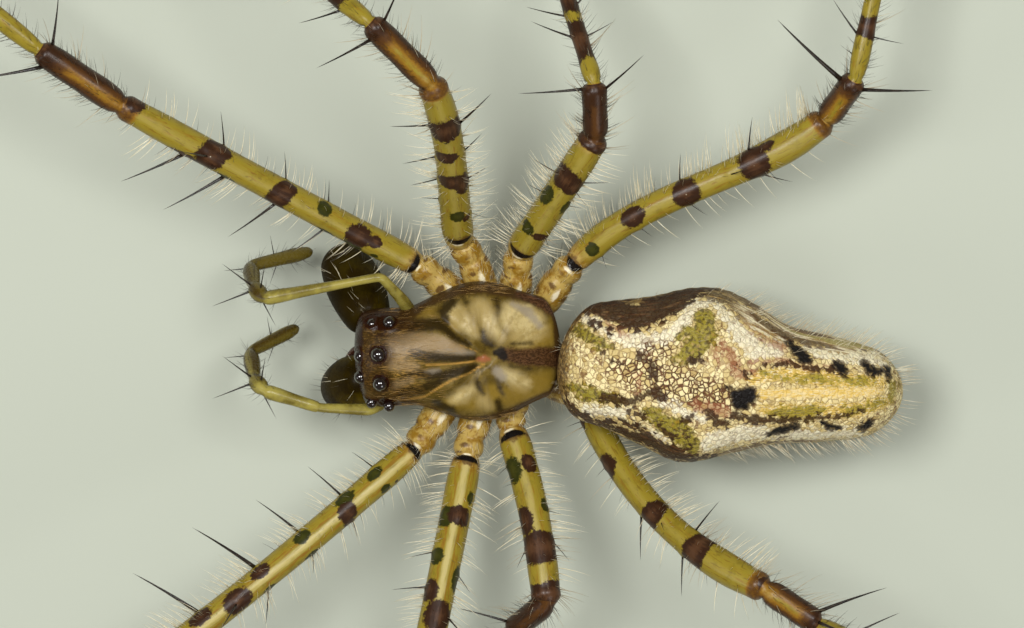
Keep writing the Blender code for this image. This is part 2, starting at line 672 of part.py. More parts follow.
def main():
    clear_scene()
    parts = collection("tetragnatha_quasimodo_spider")
    cutters = collection("cutters")
    looks = {name: material(name) for name in COLOURS}
    make_carapace(parts, cutters, looks["carapace"])
    drop(cutters)
    make_eyes(parts, looks["eye"])
    make_abdomen(parts, looks["abdomen"])
    make_spinnerets(parts, looks["abdomen"])
    make_sternum(parts, looks["sternum"])
    make_mouthparts(parts, looks["sternum"])
    for side in CHELICERAE:
        make_chelicera(side, parts, looks["chelicera"])
        make_palp(side, parts, looks["palp"])
    draw = random.Random(SEED)
    for name in LEGS:
        make_leg(name, parts, looks["leg"], draw)
    to_footprint_middle(parts)


main()
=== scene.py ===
"""Looks of the long-jawed spider: its skins, marks, eyes, spines and hair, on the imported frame.

The animal's own frame is in millimetres: the head looks along -X, its right side is +Y, the floor is
z = 0 and the point under the fovea of the carapace is the origin. Marks of carapace and abdomen are laid
out on a plan seen from above and a little from the animal's right, in plan units of 0.0175 mm.
"""
import math

import bpy
import numpy as np
from bpy.props import FloatProperty, FloatVectorProperty, IntProperty, PointerProperty
from mathutils import Matrix, Vector


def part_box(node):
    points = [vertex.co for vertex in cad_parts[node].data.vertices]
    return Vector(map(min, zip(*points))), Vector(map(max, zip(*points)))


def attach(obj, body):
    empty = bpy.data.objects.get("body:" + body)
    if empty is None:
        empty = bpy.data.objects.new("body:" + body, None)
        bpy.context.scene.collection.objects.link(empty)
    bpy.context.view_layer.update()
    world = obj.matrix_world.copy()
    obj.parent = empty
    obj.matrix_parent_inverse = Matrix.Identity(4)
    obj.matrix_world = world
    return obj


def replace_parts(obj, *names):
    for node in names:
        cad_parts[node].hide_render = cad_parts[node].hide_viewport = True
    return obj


bl_info = {
    "name": "Long-jawed spider",
    "version": (1, 0, 0),
    "blender": (4, 5, 0),
    "location": "View3D > Sidebar > Spider",
    "description": "Builds the skins, eyes, spines and hair of a still long-jawed spider",
    "category": "Add Mesh",
}

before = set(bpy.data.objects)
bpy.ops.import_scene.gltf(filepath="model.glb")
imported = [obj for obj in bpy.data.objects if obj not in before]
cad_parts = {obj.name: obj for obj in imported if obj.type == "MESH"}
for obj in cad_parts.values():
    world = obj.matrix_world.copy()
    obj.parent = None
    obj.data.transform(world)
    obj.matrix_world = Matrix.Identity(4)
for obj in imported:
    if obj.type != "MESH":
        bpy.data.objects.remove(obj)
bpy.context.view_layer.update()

MM = 0.001
UP = np.array([0.0, 0.0, 1.0])


def box_middle(node):
    low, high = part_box(node)
    return 0.5 * (np.array(low) + np.array(high))


# Eyes: centre and radius in the animal's frame
EYES = {
    "pme_r": ((-1.85, 0.08, 2.76), 0.136), "pme_l": ((-1.82, -0.44, 2.76), 0.130),
    "ame_r": ((-2.16, -0.01, 2.46), 0.120), "ame_l": ((-2.17, -0.38, 2.46), 0.110),
    "ale_r": ((-1.96, 0.55, 2.40), 0.105), "ple_r": ((-1.66, 0.60, 2.52), 0.115),
    "ale_l": ((-1.98, -0.85, 2.38), 0.105), "ple_l": ((-1.67, -0.89, 2.50), 0.105),
}
# The frame's origin is the middle of the footprint, so one eye tells where the animal's own origin is
PLACE = box_middle("eye_pme_r") - np.array(EYES["pme_r"][0]) * MM

# The plan that marks are laid out on: its lean, its unit and where the fovea lies on it
PLAN_LEAN = math.radians(11)
PLAN_UNIT = 0.0175
PLAN_FOVEA = (484.0, 359.0)
FOVEA_HEIGHT = 2.75

# Legs
LENGTHS = {1: (6.20, 1.75, 6.30, 6.50, 1.40), 2: (4.40, 1.60, 4.20, 4.40, 1.15),
           3: (3.27, 1.05, 2.10, 2.30, 0.80), 4: (5.18, 1.10, 3.90, 4.40, 1.00)}
PIECES = ("coxa", "trochanter", "femur", "patella", "tibia", "metatarsus", "tarsus")
FOOT_Z = 0.11
# Thickness of each pair of legs: from the patella on, and of the femur
LEG_TAPER = {1: 1.0, 2: 0.97, 3: 0.92, 4: 0.95}
FEMUR_TAPER = {1: 1.0, 2: 1.10, 3: 1.10, 4: 0.99}
# How far the dark crescent is moved along, and how thick the coat is ahead and behind
CRESCENT_SHIFT = {"r2": 0.07, "l2": -0.09, "l1": -0.05, "r4": -0.05}
COAT_SIDES = {"r4": (1.2, 0.25), "l4": (0.2, 0.9), "r1": (0.5, 0.35), "l3": (0.4, 0.7)}
COXA_REACH = 0.22  # how far a coxa reaches in under the body past its joint
LEGS = {
    "r1": (
        (-0.39, 0.84, 1.66), (-0.91, 1.3, 1.8), (-1.18, 1.52, 1.85), (0.1, 0.0), (148.75, 14.5),
        (144.5, 6.0), (141.5, -3.0), (147.0, -35.0),
    ),
    "r2": (
        (0.03, 0.91, 1.66), (-0.22, 1.63, 1.8), (-0.43, 1.95, 1.95), (0.12, -0.1, -1.0), (98.2, 40.5),
        (133.0, 13.9), (147.0, -35.0), (146.0, -35.0),
    ),
    "r3": (
        (0.54, 0.91, 1.64), (0.58, 1.4, 1.8), (0.61, 1.75, 1.9), (0.1, 0.0), (60.7, 33.5), (92.0, 16.9),
        (109.5, -40.0), (106.0, -42.0),
    ),
    "r4": (
        (1.07, 0.8, 1.62), (1.37, 1.29, 1.75), (1.58, 1.54, 1.85), (0.1, 0.1, 3.2), (31.2, 6.0),
        (59.0, 30.6), (78.0, -7.0), (72.0, -35.0),
    ),
    "l1": (
        (-0.57, -0.86, 1.66), (-1.02, -1.5, 1.8), (-1.22, -1.77, 1.9), (0.1, 0.05), (-142.8, 16.9),
        (-142.0, 10.0), (-140.0, -8.0), (-144.0, -35.0),
    ),
    "l2": (
        (-0.04, -0.93, 1.66), (-0.25, -1.61, 1.8), (-0.3, -1.93, 1.9), (0.1, 0.0), (-102.4, 26.3),
        (-115.0, 6.0), (-128.0, -25.0), (-132.0, -35.0),
    ),
    "l3": (
        (0.53, -0.88, 1.6), (0.47, -1.2, 1.68), (0.47, -1.46, 1.74), (0.1, 0.1), (-77.3, 29.5),
        (-134.0, -33.0), (-125.0, -34.0), (-120.0, -35.0),
    ),
    "l4": (
        (1.12, -0.66, 1.46), (1.6, -0.9, 1.22), (1.83, -1.11, 1.16), (0.1, -0.45), (-40.8, 38.0),
        (-32.4, 10.0), (-33.0, -30.0), (-30.0, -38.0),
    ),
}
# Radius along each piece: share, radius
LEG_RADII = {
    "coxa": ((0, 0.05), (0.05, 0.16), (0.16, 0.235), (0.4, 0.275), (0.8, 0.28), (1, 0.25)),
    "trochanter": ((0, 0.25), (0.35, 0.265), (0.75, 0.25), (1, 0.215)),
    "femur": (
        (0, 0.205), (0.03, 0.228), (0.25, 0.246), (0.6, 0.24), (0.93, 0.232), (0.985, 0.215), (1, 0.185),
    ),
    "patella": ((0, 0.185), (0.06, 0.212), (0.5, 0.236), (0.85, 0.226), (0.96, 0.19), (1, 0.15)),
    "tibia": ((0, 0.13), (0.03, 0.15), (0.3, 0.155), (0.9, 0.148), (0.98, 0.14), (1, 0.108)),
    "metatarsus": ((0, 0.105), (0.03, 0.125), (0.5, 0.108), (0.96, 0.095), (1, 0.075)),
    "tarsus": ((0, 0.075), (0.08, 0.085), (0.7, 0.072), (0.92, 0.055), (1, 0.03)),
}
# Joints: how deep the fold is at the root of a piece, and how far the piece before it swells
JOINT_FOLDS = (("trochanter", 0.08, 0.02), ("femur", 0.11, 0.03), ("patella", 0.13, 0.05),
               ("tibia", 0.16, 0.05), ("metatarsus", 0.15, 0.05), ("tarsus", 0.12, 0.05))
# Spots of each femur by the field they colour: share along it, degrees round from the top towards the
# head, half length and half width in millimetres
FEMUR_MARKS = {
    "r1": {
        "purple": (
            (0.145, -11, 0.13, 0.12), (0.2, 0, 0.26, 0.24), (0.465, 15, 0.22, 0.3),
            (0.455, -40, 0.2, 0.16), (0.47, 75, 0.26, 0.14), (0.7, 5, 0.28, 0.3), (0.69, -45, 0.28, 0.2),
            (0.77, 75, 0.34, 0.14), (0.965, -60, 0.2, 0.22),
        ),
        "olive": (
            (0.205, 65, 0.22, 0.14), (0.128, 50, 0.08, 0.07), (0.295, 80, 0.2, 0.12),
            (0.33, -38, 0.16, 0.15), (0.63, 78, 0.24, 0.12),
        ),
    },
    "r2": {
        "olive": ((0.195, -8, 0.15, 0.15),),
        "purple": (
            (0.18, -45, 0.09, 0.1), (0.42, 0, 0.18, 0.34), (0.4, -45, 0.24, 0.18), (0.575, 20, 0.15, 0.26),
            (0.73, 0, 0.26, 0.46),
        ),
    },
    "r3": {
        "olive": ((0.22, 35, 0.15, 0.16), (0.5, 45, 0.24, 0.15), (0.49, -60, 0.2, 0.12)),
        "purple": ((0.2, -30, 0.1, 0.17), (0.665, 20, 0.26, 0.34), (0.64, -35, 0.2, 0.24)),
    },
    "r4": {
        "olive": ((0.082, -5, 0.13, 0.14),),
        "purple": (
            (0.262, 12, 0.24, 0.2), (0.461, 4, 0.26, 0.32), (0.712, 5, 0.28, 0.42), (0.775, 50, 0.2, 0.1),
        ),
    },
    "l1": {
        "olive": (
            (0.133, 42, 0.19, 0.11), (0.135, -42, 0.12, 0.09), (0.245, 45, 0.22, 0.14),
            (0.41, 38, 0.18, 0.13), (0.42, -66, 0.18, 0.09), (0.575, -62, 0.16, 0.08),
        ),
        "purple": (
            (0.098, -55, 0.05, 0.05), (0.262, -10, 0.19, 0.2), (0.28, -60, 0.14, 0.09),
            (0.565, 38, 0.21, 0.13), (0.665, -5, 0.29, 0.25), (0.78, 45, 0.25, 0.15), (0.95, 0, 0.14, 0.3),
        ),
    },
    "l2": {
        "olive": (
            (0.155, -45, 0.14, 0.08), (0.25, 40, 0.2, 0.2), (0.42, 50, 0.17, 0.17), (0.5, -60, 0.26, 0.12),
        ),
        "purple": (
            (0.232, -15, 0.19, 0.24), (0.565, 50, 0.22, 0.2), (0.655, -10, 0.3, 0.3), (0.9, 0, 0.2, 0.4),
        ),
    },
    "l3": {
        "olive": ((0.215, 40, 0.26, 0.2), (0.46, -60, 0.14, 0.1)),
        "purple": ((0.2, -35, 0.18, 0.16), (0.52, 45, 0.28, 0.2)),
    },
    "l4": {
        "purple": (
            (0.235, 55, 0.24, 0.26), (0.06, 70, 0.12, 0.12), (0.475, 15, 0.22, 0.42),
            (0.985, -40, 0.1, 0.2),
        ),
    },
}
# Bands right round the pieces of each leg: share and half length in millimetres
BANDS = {
    "patella": ((0.97, 0.1),),
    "tibia": ((0.21, 0.34), (0.47, 0.3), (0.73, 0.34), (0.97, 0.22)),
    "metatarsus": ((0.03, 0.25), (0.36, 0.3), (0.68, 0.28), (0.97, 0.24)),
    "tarsus": ((0.9, 0.3),),
}
PAIR_BANDS = {
    3: {"tibia": ((0.4, 0.44), (0.84, 0.34))},
    4: {"tibia": ((0.235, 0.2), (0.5, 0.28), (0.75, 0.3), (0.97, 0.2))},
}
OWN_BANDS = {
    "r3": {"femur": ((0.955, 0.16),)}, "l3": {"femur": ((0.67, 0.28), (0.93, 0.22))},
    "l4": {"femur": ((0.69, 0.23),)},
}
# Brown spots round the leg roots: piece, share, degrees round, half length and half width
ROOT_SPOTS = (
    ("coxa", 0.96, 75, 0.09, 0.2), ("coxa", 0.92, -80, 0.1, 0.22), ("trochanter", 0.97, 60, 0.07, 0.16),
    ("trochanter", 0.97, -60, 0.07, 0.16), ("coxa", 0.51, 60, 0.14, 0.12), ("femur", 0.02, 80, 0.1, 0.13),
    ("coxa", 0.6, -55, 0.13, 0.12), ("coxa", 0.8, 15, 0.07, 0.12), ("trochanter", 0.45, 15, 0.06, 0.14),
    ("coxa", 0.35, 10, 0.1, 0.1),
)
DOT = 0.035  # radius of the pale dot in a purple spot
CRESCENT_RADIUS = 0.22  # radius of a femur where the dark crescent at its root lies
UMBER = {1: 0.3, 3: 0.78}  # how far the umber spreads on the patella of a pair
HIGHLIGHT_STRIPE = {"l1": 1.0, "l2": 1.0, "l3": 0.5, "l4": 0.15, "r4": 0.25}  # how clear the painted highlight stripe on top of the femur is

# Spines: share along the piece, degrees round, length and lean towards the foot
FEMUR_SPINES = {
    "r1": (
        (0.2, 85, 0.5, 20), (0.3, 95, 0.75, 18), (0.33, -80, 0.45, 30), (0.46, 100, 1.0, 22),
        (0.47, -85, 0.55, 30), (0.63, 90, 1.25, 30), (0.68, -95, 0.65, 35), (0.71, 5, 0.8, 45),
        (0.77, 90, 1.15, 30),
    ),
    "r2": (
        (0.2, -80, 0.35, -20), (0.3, 85, 0.4, 15), (0.42, -85, 0.5, 40), (0.43, 95, 0.6, -20),
        (0.57, 100, 0.75, -22), (0.59, -90, 0.6, 44), (0.75, -85, 1.0, 38), (0.77, 80, 0.8, 20),
        (0.66, 5, 0.75, 45),
    ),
    "r3": (
        (0.22, -60, 0.3, -35), (0.5, 80, 0.42, 5), (0.5, -90, 0.35, 26), (0.66, 95, 0.6, 0),
        (0.62, -60, 0.4, -12), (0.68, -95, 0.62, 32),
    ),
    "r4": (
        (0.09, -75, 0.35, -20), (0.26, -80, 0.35, 25), (0.46, 80, 0.65, 20), (0.46, -85, 0.48, 31),
        (0.71, 75, 0.85, 25), (0.72, -85, 0.68, 44), (0.62, 5, 0.6, 45),
    ),
    "l1": (
        (0.13, 85, 0.48, 12), (0.25, 90, 0.75, 9), (0.27, -85, 0.32, 22), (0.41, 90, 1.0, 11),
        (0.42, -90, 0.36, 37), (0.57, 85, 1.3, 15), (0.58, -95, 0.68, 37), (0.67, -10, 0.75, 40),
        (0.78, 90, 1.35, 16),
    ),
    "l2": (
        (0.24, -20, 0.5, 45), (0.42, 90, 0.5, 20), (0.49, -80, 0.42, 40), (0.57, 95, 0.65, 16),
        (0.66, -60, 0.75, 34), (0.76, 85, 0.95, 20), (0.8, -90, 0.8, 34),
    ),
    "l3": ((0.2, 75, 0.35, 30), (0.5, -85, 0.35, 30), (0.7, 95, 0.5, 52), (0.68, -90, 0.55, 60)),
    "l4": (
        (0.05, 80, 0.4, 0), (0.24, 85, 0.3, 10), (0.46, 95, 0.95, 42), (0.66, -80, 0.9, 5),
        (0.67, 85, 0.95, 33), (0.52, 5, 0.55, 45),
    ),
}
OWN_SPINES = {
    "r1": {"patella": ((0.86, 70, 1.25, 43), (0.9, -75, 1.1, 28))},
    "r3": {
        "patella": ((0.88, 90, 1.46, -8), (0.88, -85, 1.18, 40)),
        "tibia": (
            (0.45, -90, 0.67, 9), (0.49, 90, 1.0, 39), (0.7, 90, 0.9, 36), (0.76, -95, 0.85, 38),
            (0.92, 75, 0.8, 40),
        ),
    },
    "r4": {
        "patella": ((0.86, 80, 2.1, 17), (0.9, -80, 1.6, 40)),
        "tibia": (
            (0.2, 85, 0.88, 41), (0.2, -90, 0.68, 0), (0.4, 100, 1.25, 38), (0.44, -90, 0.95, 25),
            (0.66, 90, 1.2, 36), (0.74, -95, 1.0, 38), (0.92, 75, 0.8, 40),
        ),
    },
    "l4": {"patella": ((0.88, -80, 1.57, 31), (0.95, -20, 1.45, 40))},
}
SPINES = {
    "patella": ((0.86, 70, 1.25, 20), (0.9, -75, 1.1, 26)),
    "tibia": (
        (0.14, 90, 0.95, 35), (0.2, -85, 1.05, 38), (0.4, 100, 1.25, 38), (0.44, -90, 0.95, 25),
        (0.56, 5, 1.0, 45), (0.66, 90, 1.2, 36), (0.74, -95, 1.0, 38), (0.92, 75, 0.8, 40),
    ),
    "metatarsus": ((0.1, 85, 0.95, 38), (0.14, -80, 0.9, 38), (0.4, 90, 0.8, 40), (0.47, -85, 0.75, 40)),
}
SPINE_SIZE = {1: 1.0, 2: 0.92, 3: 0.78, 4: 0.80}

# Body forms
CARAPACE_FRONT, CARAPACE_REAR = np.array([-2.27, -0.14, 2.0]), np.array([1.34, 0.10, 2.0])
CARAPACE_WIDTHS = ((0.0, 0.80), (0.12, 0.865), (0.30, 0.885), (0.40, 1.03), (0.50, 1.17),
                   (0.61, 1.24), (0.73, 1.16), (0.85, 0.98), (1.0, 0.80))
CARAPACE_HEIGHTS = ((0.0, 0.52), (0.07, 0.70), (0.16, 0.82), (0.42, 0.90), (0.62, 0.72),
                    (0.74, 0.64), (0.87, 0.42), (1.0, 0.14))
ABDOMEN_FRONT, ABDOMEN_REAR = np.array([1.29, -0.17, 2.36]), np.array([7.36, -0.79, 1.97])
ABDOMEN_SECTIONS = ((0.0, 1.00, 0.94, 0.62, 0.72), (0.13, 1.19, 1.02, 0.80, 1.00),
                    (0.25, 1.34, 1.27, 1.04, 1.16), (0.37, 1.56, 1.50, 1.22, 1.24),
                    (0.45, 1.58, 1.43, 1.24, 1.22), (0.54, 1.39, 1.26, 1.20, 1.14),
                    (0.65, 1.04, 1.06, 1.12, 0.98), (0.77, 0.93, 0.96, 1.02, 0.86),
                    (0.88, 0.80, 0.83, 0.86, 0.68), (1.0, 0.60, 0.62, 0.58, 0.44))
PEDICEL = ((1.10, -0.02, 1.72), (1.56, -0.10, 1.84), (1.95, -0.22, 2.0))
PALPS = {
    "r": (
        (-1.22, 0.52, 1.8), (-1.42, 0.94, 2.24), (-1.8, 1.45, 2.66), (-3.85, 1.06, 2.68),
        (-4.02, 1.2, 2.4), (-4.12, 1.42, 1.5), (-3.04, 1.56, 0.85),
    ),
    "l": (
        (-1.45, -0.78, 1.75), (-2.02, -1.02, 2.2), (-2.88, -0.92, 2.52), (-3.85, -0.59, 2.63),
        (-4.02, -0.46, 2.36), (-4.12, -0.12, 1.5), (-3.29, 0.19, 0.85),
    ),
}
# Radius of a palp past its joints: way past the joint and radius
PALP_RADII = {
    2: ((0, 0.088), (0.7, 0.088)),
    3: ((-1.0, 0.102), (-0.55, 0.118), (-0.2, 0.138), (-0.08, 0.136), (0, 0.112), (0.1, 0.15)),
    4: ((-0.06, 0.156), (0.06, 0.115), (0.25, 0.135)),
    5: ((-0.14, 0.14), (-0.02, 0.105), (0.12, 0.115), (0.6, 0.13)),
    6: ((-0.16, 0.12), (-0.04, 0.085), (0, 0.045)),
}
# Bristles of a palp: joint, way past it, heading, pitch and length
PALP_BRISTLES = ((4, -0.05, 200, 12, 0.75), (4, 0, 140, 20, 0.7), (4, -0.1, 300, 25, 0.65),
                 (4, -0.2, 80, 30, 0.6), (5, -0.1, 190, -20, 0.45), (5, 0.5, 100, 10, 0.4),
                 (5, 0.6, 250, 20, 0.4))
PALP_THICKNESS = 0.92
CHELICERAE = {
    "r": ((-1.96, 0.36, 1.86), (-2.58, 1.50, 0.56)),
    "l": ((-2.00, -0.44, 1.86), (-2.60, -0.96, 0.56)),
}
CHELICERA_RADII = ((0.0, 0.34), (0.25, 0.46), (0.5, 0.51), (0.75, 0.46), (1.0, 0.35))

# Marks drawn on the plan as strokes: each is a row of points (x, y, half width)
CARAPACE_MARKS = {
    "pale": (
        ((455, 313, 9), (464, 322, 9)), ((480, 308, 9), (488, 320, 9), (500, 336, 5)),
        ((512, 318, 14), (530, 322, 15), (524, 334, 13), (540, 330, 8)), ((470, 328, 7), (474, 334, 4)),
        ((508, 308, 6), (530, 306, 4)), ((452, 400, 4), (462, 396, 7), (472, 390, 5)),
        ((502, 372, 5), (514, 378, 8), (524, 384, 7)), ((483, 401, 6), (488, 406, 4)),
    ),
    "beige": (
        ((396, 343, 9), (415, 341, 9), (440, 345, 8), (462, 350, 4)), ((392, 364, 6), (415, 367, 4)),
        ((400, 352, 7), (392, 356, 6)), ((395, 385, 3), (410, 380, 3)),
    ),
    "ochre": (
        ((446, 316, 5), (452, 326, 5)), ((520, 345, 6), (548, 336, 10), (556, 322, 6)),
        ((490, 393, 9), (512, 396, 10), (534, 386, 12), (550, 378, 8)), ((446, 404, 5), (470, 404, 6)),
        ((400, 314, 5), (428, 312, 5)),
    ),
    "dark": (
        ((388, 323, 6), (412, 326, 6), (436, 324, 5), (446, 329, 3.5), (455, 338, 2.5), (468, 345, 2)),
        ((412, 352, 3), (425, 356, 5.5), (440, 357, 4.5), (456, 358, 3.5), (474, 358, 2.5)),
        ((402, 380, 3), (415, 373, 4), (432, 377, 3), (450, 374, 4), (474, 367, 3.5)),
        ((398, 392, 4), (420, 390, 5), (434, 384, 4), (446, 378, 2)),
        ((446, 322, 3), (443, 312, 4), (452, 302, 4)), ((482, 331, 0.5), (485, 341, 2.5), (492, 346, 2.5)),
        ((496, 300, 1.5), (499, 308, 0.6), (498, 315, 0.2)),
        ((476, 379, 0.5), (479, 388, 1.5), (484, 394, 0.3)),
        ((497, 380, 0.3), (500, 388, 1.5), (503, 395, 0.3)), ((462, 296, 1), (466, 303, 1)),
        ((436, 404, 4), (452, 410, 3)), ((498, 402, 2.5), (500, 410, 2.5)),
        ((512, 344, 0.2), (532, 343, 0.2)), ((510, 366, 0.2), (530, 369, 0.2)),
        ((378, 336, 2), (386, 334, 2)),
    ),
    "spot": (((495, 353, 3), (501, 352, 5), (504, 357, 4)),),
    "purple": (
        ((504, 354, 6), (522, 357, 8.5), (542, 357, 10), (557, 358, 10)),
        ((520, 293, 4), (536, 300, 6), (550, 309, 6)),
    ),
    "red": (((478, 359.5, 2), (484, 358.7, 3.6), (489, 359, 1.6)),),
    # Lilac grey painted highlights
    "grey_highlight": (
        ((512, 304, 2), (528, 312, 5), (540, 326, 3)), ((440, 352, 4), (458, 352, 4.5), (472, 354, 3)),
        ((420, 375, 3), (430, 373, 4), (438, 372, 3)), ((497, 371, 5), (502, 377, 5)),
        ((391, 330, 2.5), (397, 331, 2.5)),
    ),
    "gold": (
        ((426, 365, 1.4), (455, 363.5, 1.2), (478, 361, 1.2)),
        ((392, 402, 1), (425, 396.5, 1.2), (440, 387, 1.4), (452, 380, 1.4), (468, 374, 1.3),
         (484, 364, 1.3)),
        ((460, 345, 0.8), (478, 352, 0.8)),
    ),
}
ABDOMEN_MARKS = {
    "net": (
        ((612, 366, 8), (640, 374, 18), (668, 382, 20), (700, 392, 17), (728, 398, 11)),
        ((640, 350, 6), (670, 350, 8)),
    ),
    "white": (
        ((584, 317, 5), (598, 326, 6), (618, 338, 5), (642, 341, 9), (666, 338, 6), (686, 322, 5),
         (690, 306, 6), (712, 302, 5), (729, 318, 6), (742, 338, 11), (756, 350, 11), (776, 352, 6)),
        ((806, 347, 4), (832, 354, 7), (858, 354, 9), (880, 360, 7), (888, 366, 4)),
        ((585, 410, 5), (606, 412, 6), (628, 412, 4)), ((650, 430, 3), (664, 440, 4)),
        ((706, 444, 7), (728, 436, 9), (754, 432, 6), (786, 436, 5), (812, 434, 5), (842, 434, 6),
         (860, 433, 4)),
        ((665, 402, 5), (684, 412, 6), (704, 419, 4)),
    ),
    "line": (((758, 394, 5), (800, 393, 5), (850, 393, 5), (882, 391, 3)),),
    "yellow": (
        ((752, 380, 6), (770, 374, 7), (806, 376, 9), (846, 380, 9), (882, 382, 6)),
        ((762, 410, 5), (790, 412, 8), (830, 411, 8), (858, 410, 8), (884, 402, 6)),
    ),
    "green": (
        ((762, 372, 3), (790, 380, 3), (818, 378, 4), (836, 383, 3)), ((848, 379, 5), (872, 381, 4)),
        ((766, 411, 3), (784, 414, 7), (812, 413, 7), (824, 409, 3)),
        ((848, 412, 6), (866, 408, 4), (884, 400, 3)), ((890, 378, 2), (894, 386, 4), (893, 398, 3)),
    ),
    "red": (
        ((722, 344, 3), (730, 358, 6), (738, 370, 7), (752, 372, 3)),
        ((752, 362, 2), (778, 360, 2.5), (800, 366, 3), (832, 367, 2)),
        ((744, 322, 3), (762, 336, 4), (784, 346, 4)), ((606, 324, 4), (625, 334, 3)),
        ((698, 405, 6), (722, 412, 7)), ((640, 378, 3), (640, 390, 3)), ((712, 345, 3), (716, 360, 4)),
    ),
    "olive": (
        ((570, 328, 5), (583, 333, 8), (600, 343, 6), (614, 350, 3)),
        ((566, 385, 5), (584, 392, 7), (604, 397, 6), (620, 401, 4)),
        ((704, 318, 10), (703, 334, 14), (692, 349, 13), (676, 358, 6)), ((678, 336, 4), (688, 330, 5)),
        ((648, 413, 6), (662, 421, 9), (678, 430, 12), (690, 443, 11), (694, 452, 7)),
    ),
    "brown": (
        ((640, 357, 3), (636, 354, 3)), ((650, 364, 4), (653, 374, 5), (656, 381, 2)),
        ((644, 394, 4), (654, 393, 5), (664, 397, 3)), ((692, 361, 4), (700, 358, 3.5)),
        ((684, 420, 2), (692, 416, 4)), ((706, 410, 3), (716, 422, 6), (728, 424, 4)),
        ((735, 416, 4), (756, 420, 4), (784, 420, 3), (812, 418, 2.5), (842, 416, 2), (864, 411, 1.5)),
        ((762, 366, 1.5), (786, 364, 2), (820, 368, 2), (852, 372, 1.5)),
        ((604, 398, 4), (628, 402, 4), (640, 400, 3)), ((572, 322, 2), (580, 316, 2)),
        ((630, 412, 2), (644, 416, 3)), ((740, 368, 2.5), (748, 374, 3)), ((786, 338, 3), (794, 346, 3)),
        ((660, 424, 2), (672, 438, 3)), ((684, 428, 2), (690, 448, 3)), ((604, 352, 2), (612, 362, 2)),
    ),
    "flank_dark": (
        ((578, 308, 4), (600, 306, 10), (622, 314, 14), (638, 318, 14), (656, 309, 14), (676, 300, 11),
         (694, 291, 6), (716, 287, 3)),
        ((592, 322, 3), (612, 330, 4)),
        ((566, 404, 4), (590, 421, 4), (622, 429, 5), (646, 440, 7), (668, 452, 8), (692, 459, 5),
         (716, 456, 2)),
        ((612, 422, 3), (636, 426, 4), (652, 440, 5)),
    ),
    "striped": (
        ((700, 292, 5), (728, 300, 6), (750, 318, 8), (768, 330, 9), (790, 335, 8), (815, 340, 9),
         (842, 346, 7), (862, 349, 4)),
        ((704, 458, 4), (740, 450, 4), (784, 444, 3), (840, 441, 3)),
        ((564, 322, 6), (559, 358, 7), (562, 392, 6)),
    ),
    "black": (
        ((733, 393, 4), (741, 398, 9.5), (748, 395, 8), (753, 391, 3)), ((738, 405, 4), (745, 406, 3)),
        ((790, 343, 2.5), (796, 351, 4.5), (803, 357, 6), (810, 361, 2)),
        ((836, 365, 3), (842, 369, 4.5), (846, 374, 2)), ((866, 364, 2.5), (871, 371, 4.5), (880, 372, 3)),
        ((888, 368, 2.2), (890, 377, 2.5)), ((770, 434, 1.5), (784, 429, 4), (798, 425, 2)),
        ((822, 422, 1.5), (830, 426, 3), (839, 428, 1.5)), ((862, 428, 3), (870, 423, 3)),
        ((728, 387, 1.5), (734, 392, 2)),
    ),
}


# Shader expressions
class Flow:
    """A socket of a node tree: arithmetic on it adds Math nodes."""

    def __init__(self, tree, socket):
        self.tree = tree
        self.socket = socket

    def math(self, operation, other):
        made = self.tree.nodes.new("ShaderNodeMath")
        made.operation = operation
        for slot, item in enumerate((self, other)):
            feed(self.tree, made.inputs[slot], item)
        return Flow(self.tree, made.outputs[0])

    def __add__(self, other):
        return self.math("ADD", other)

    def __mul__(self, other):
        return self.math("MULTIPLY", other)

    def __sub__(self, other):
        return self.math("SUBTRACT", other)

    def __rsub__(self, other):
        return (self * -1.0) + other

    def most(self, other):
        return self.math("MAXIMUM", other)


def feed(tree, socket, item):
    if isinstance(item, Flow):
        tree.links.new(item.socket, socket)
    elif socket.type == "RGBA" and len(item) == 3:
        socket.default_value = (*item, 1.0)
    else:
        socket.default_value = item


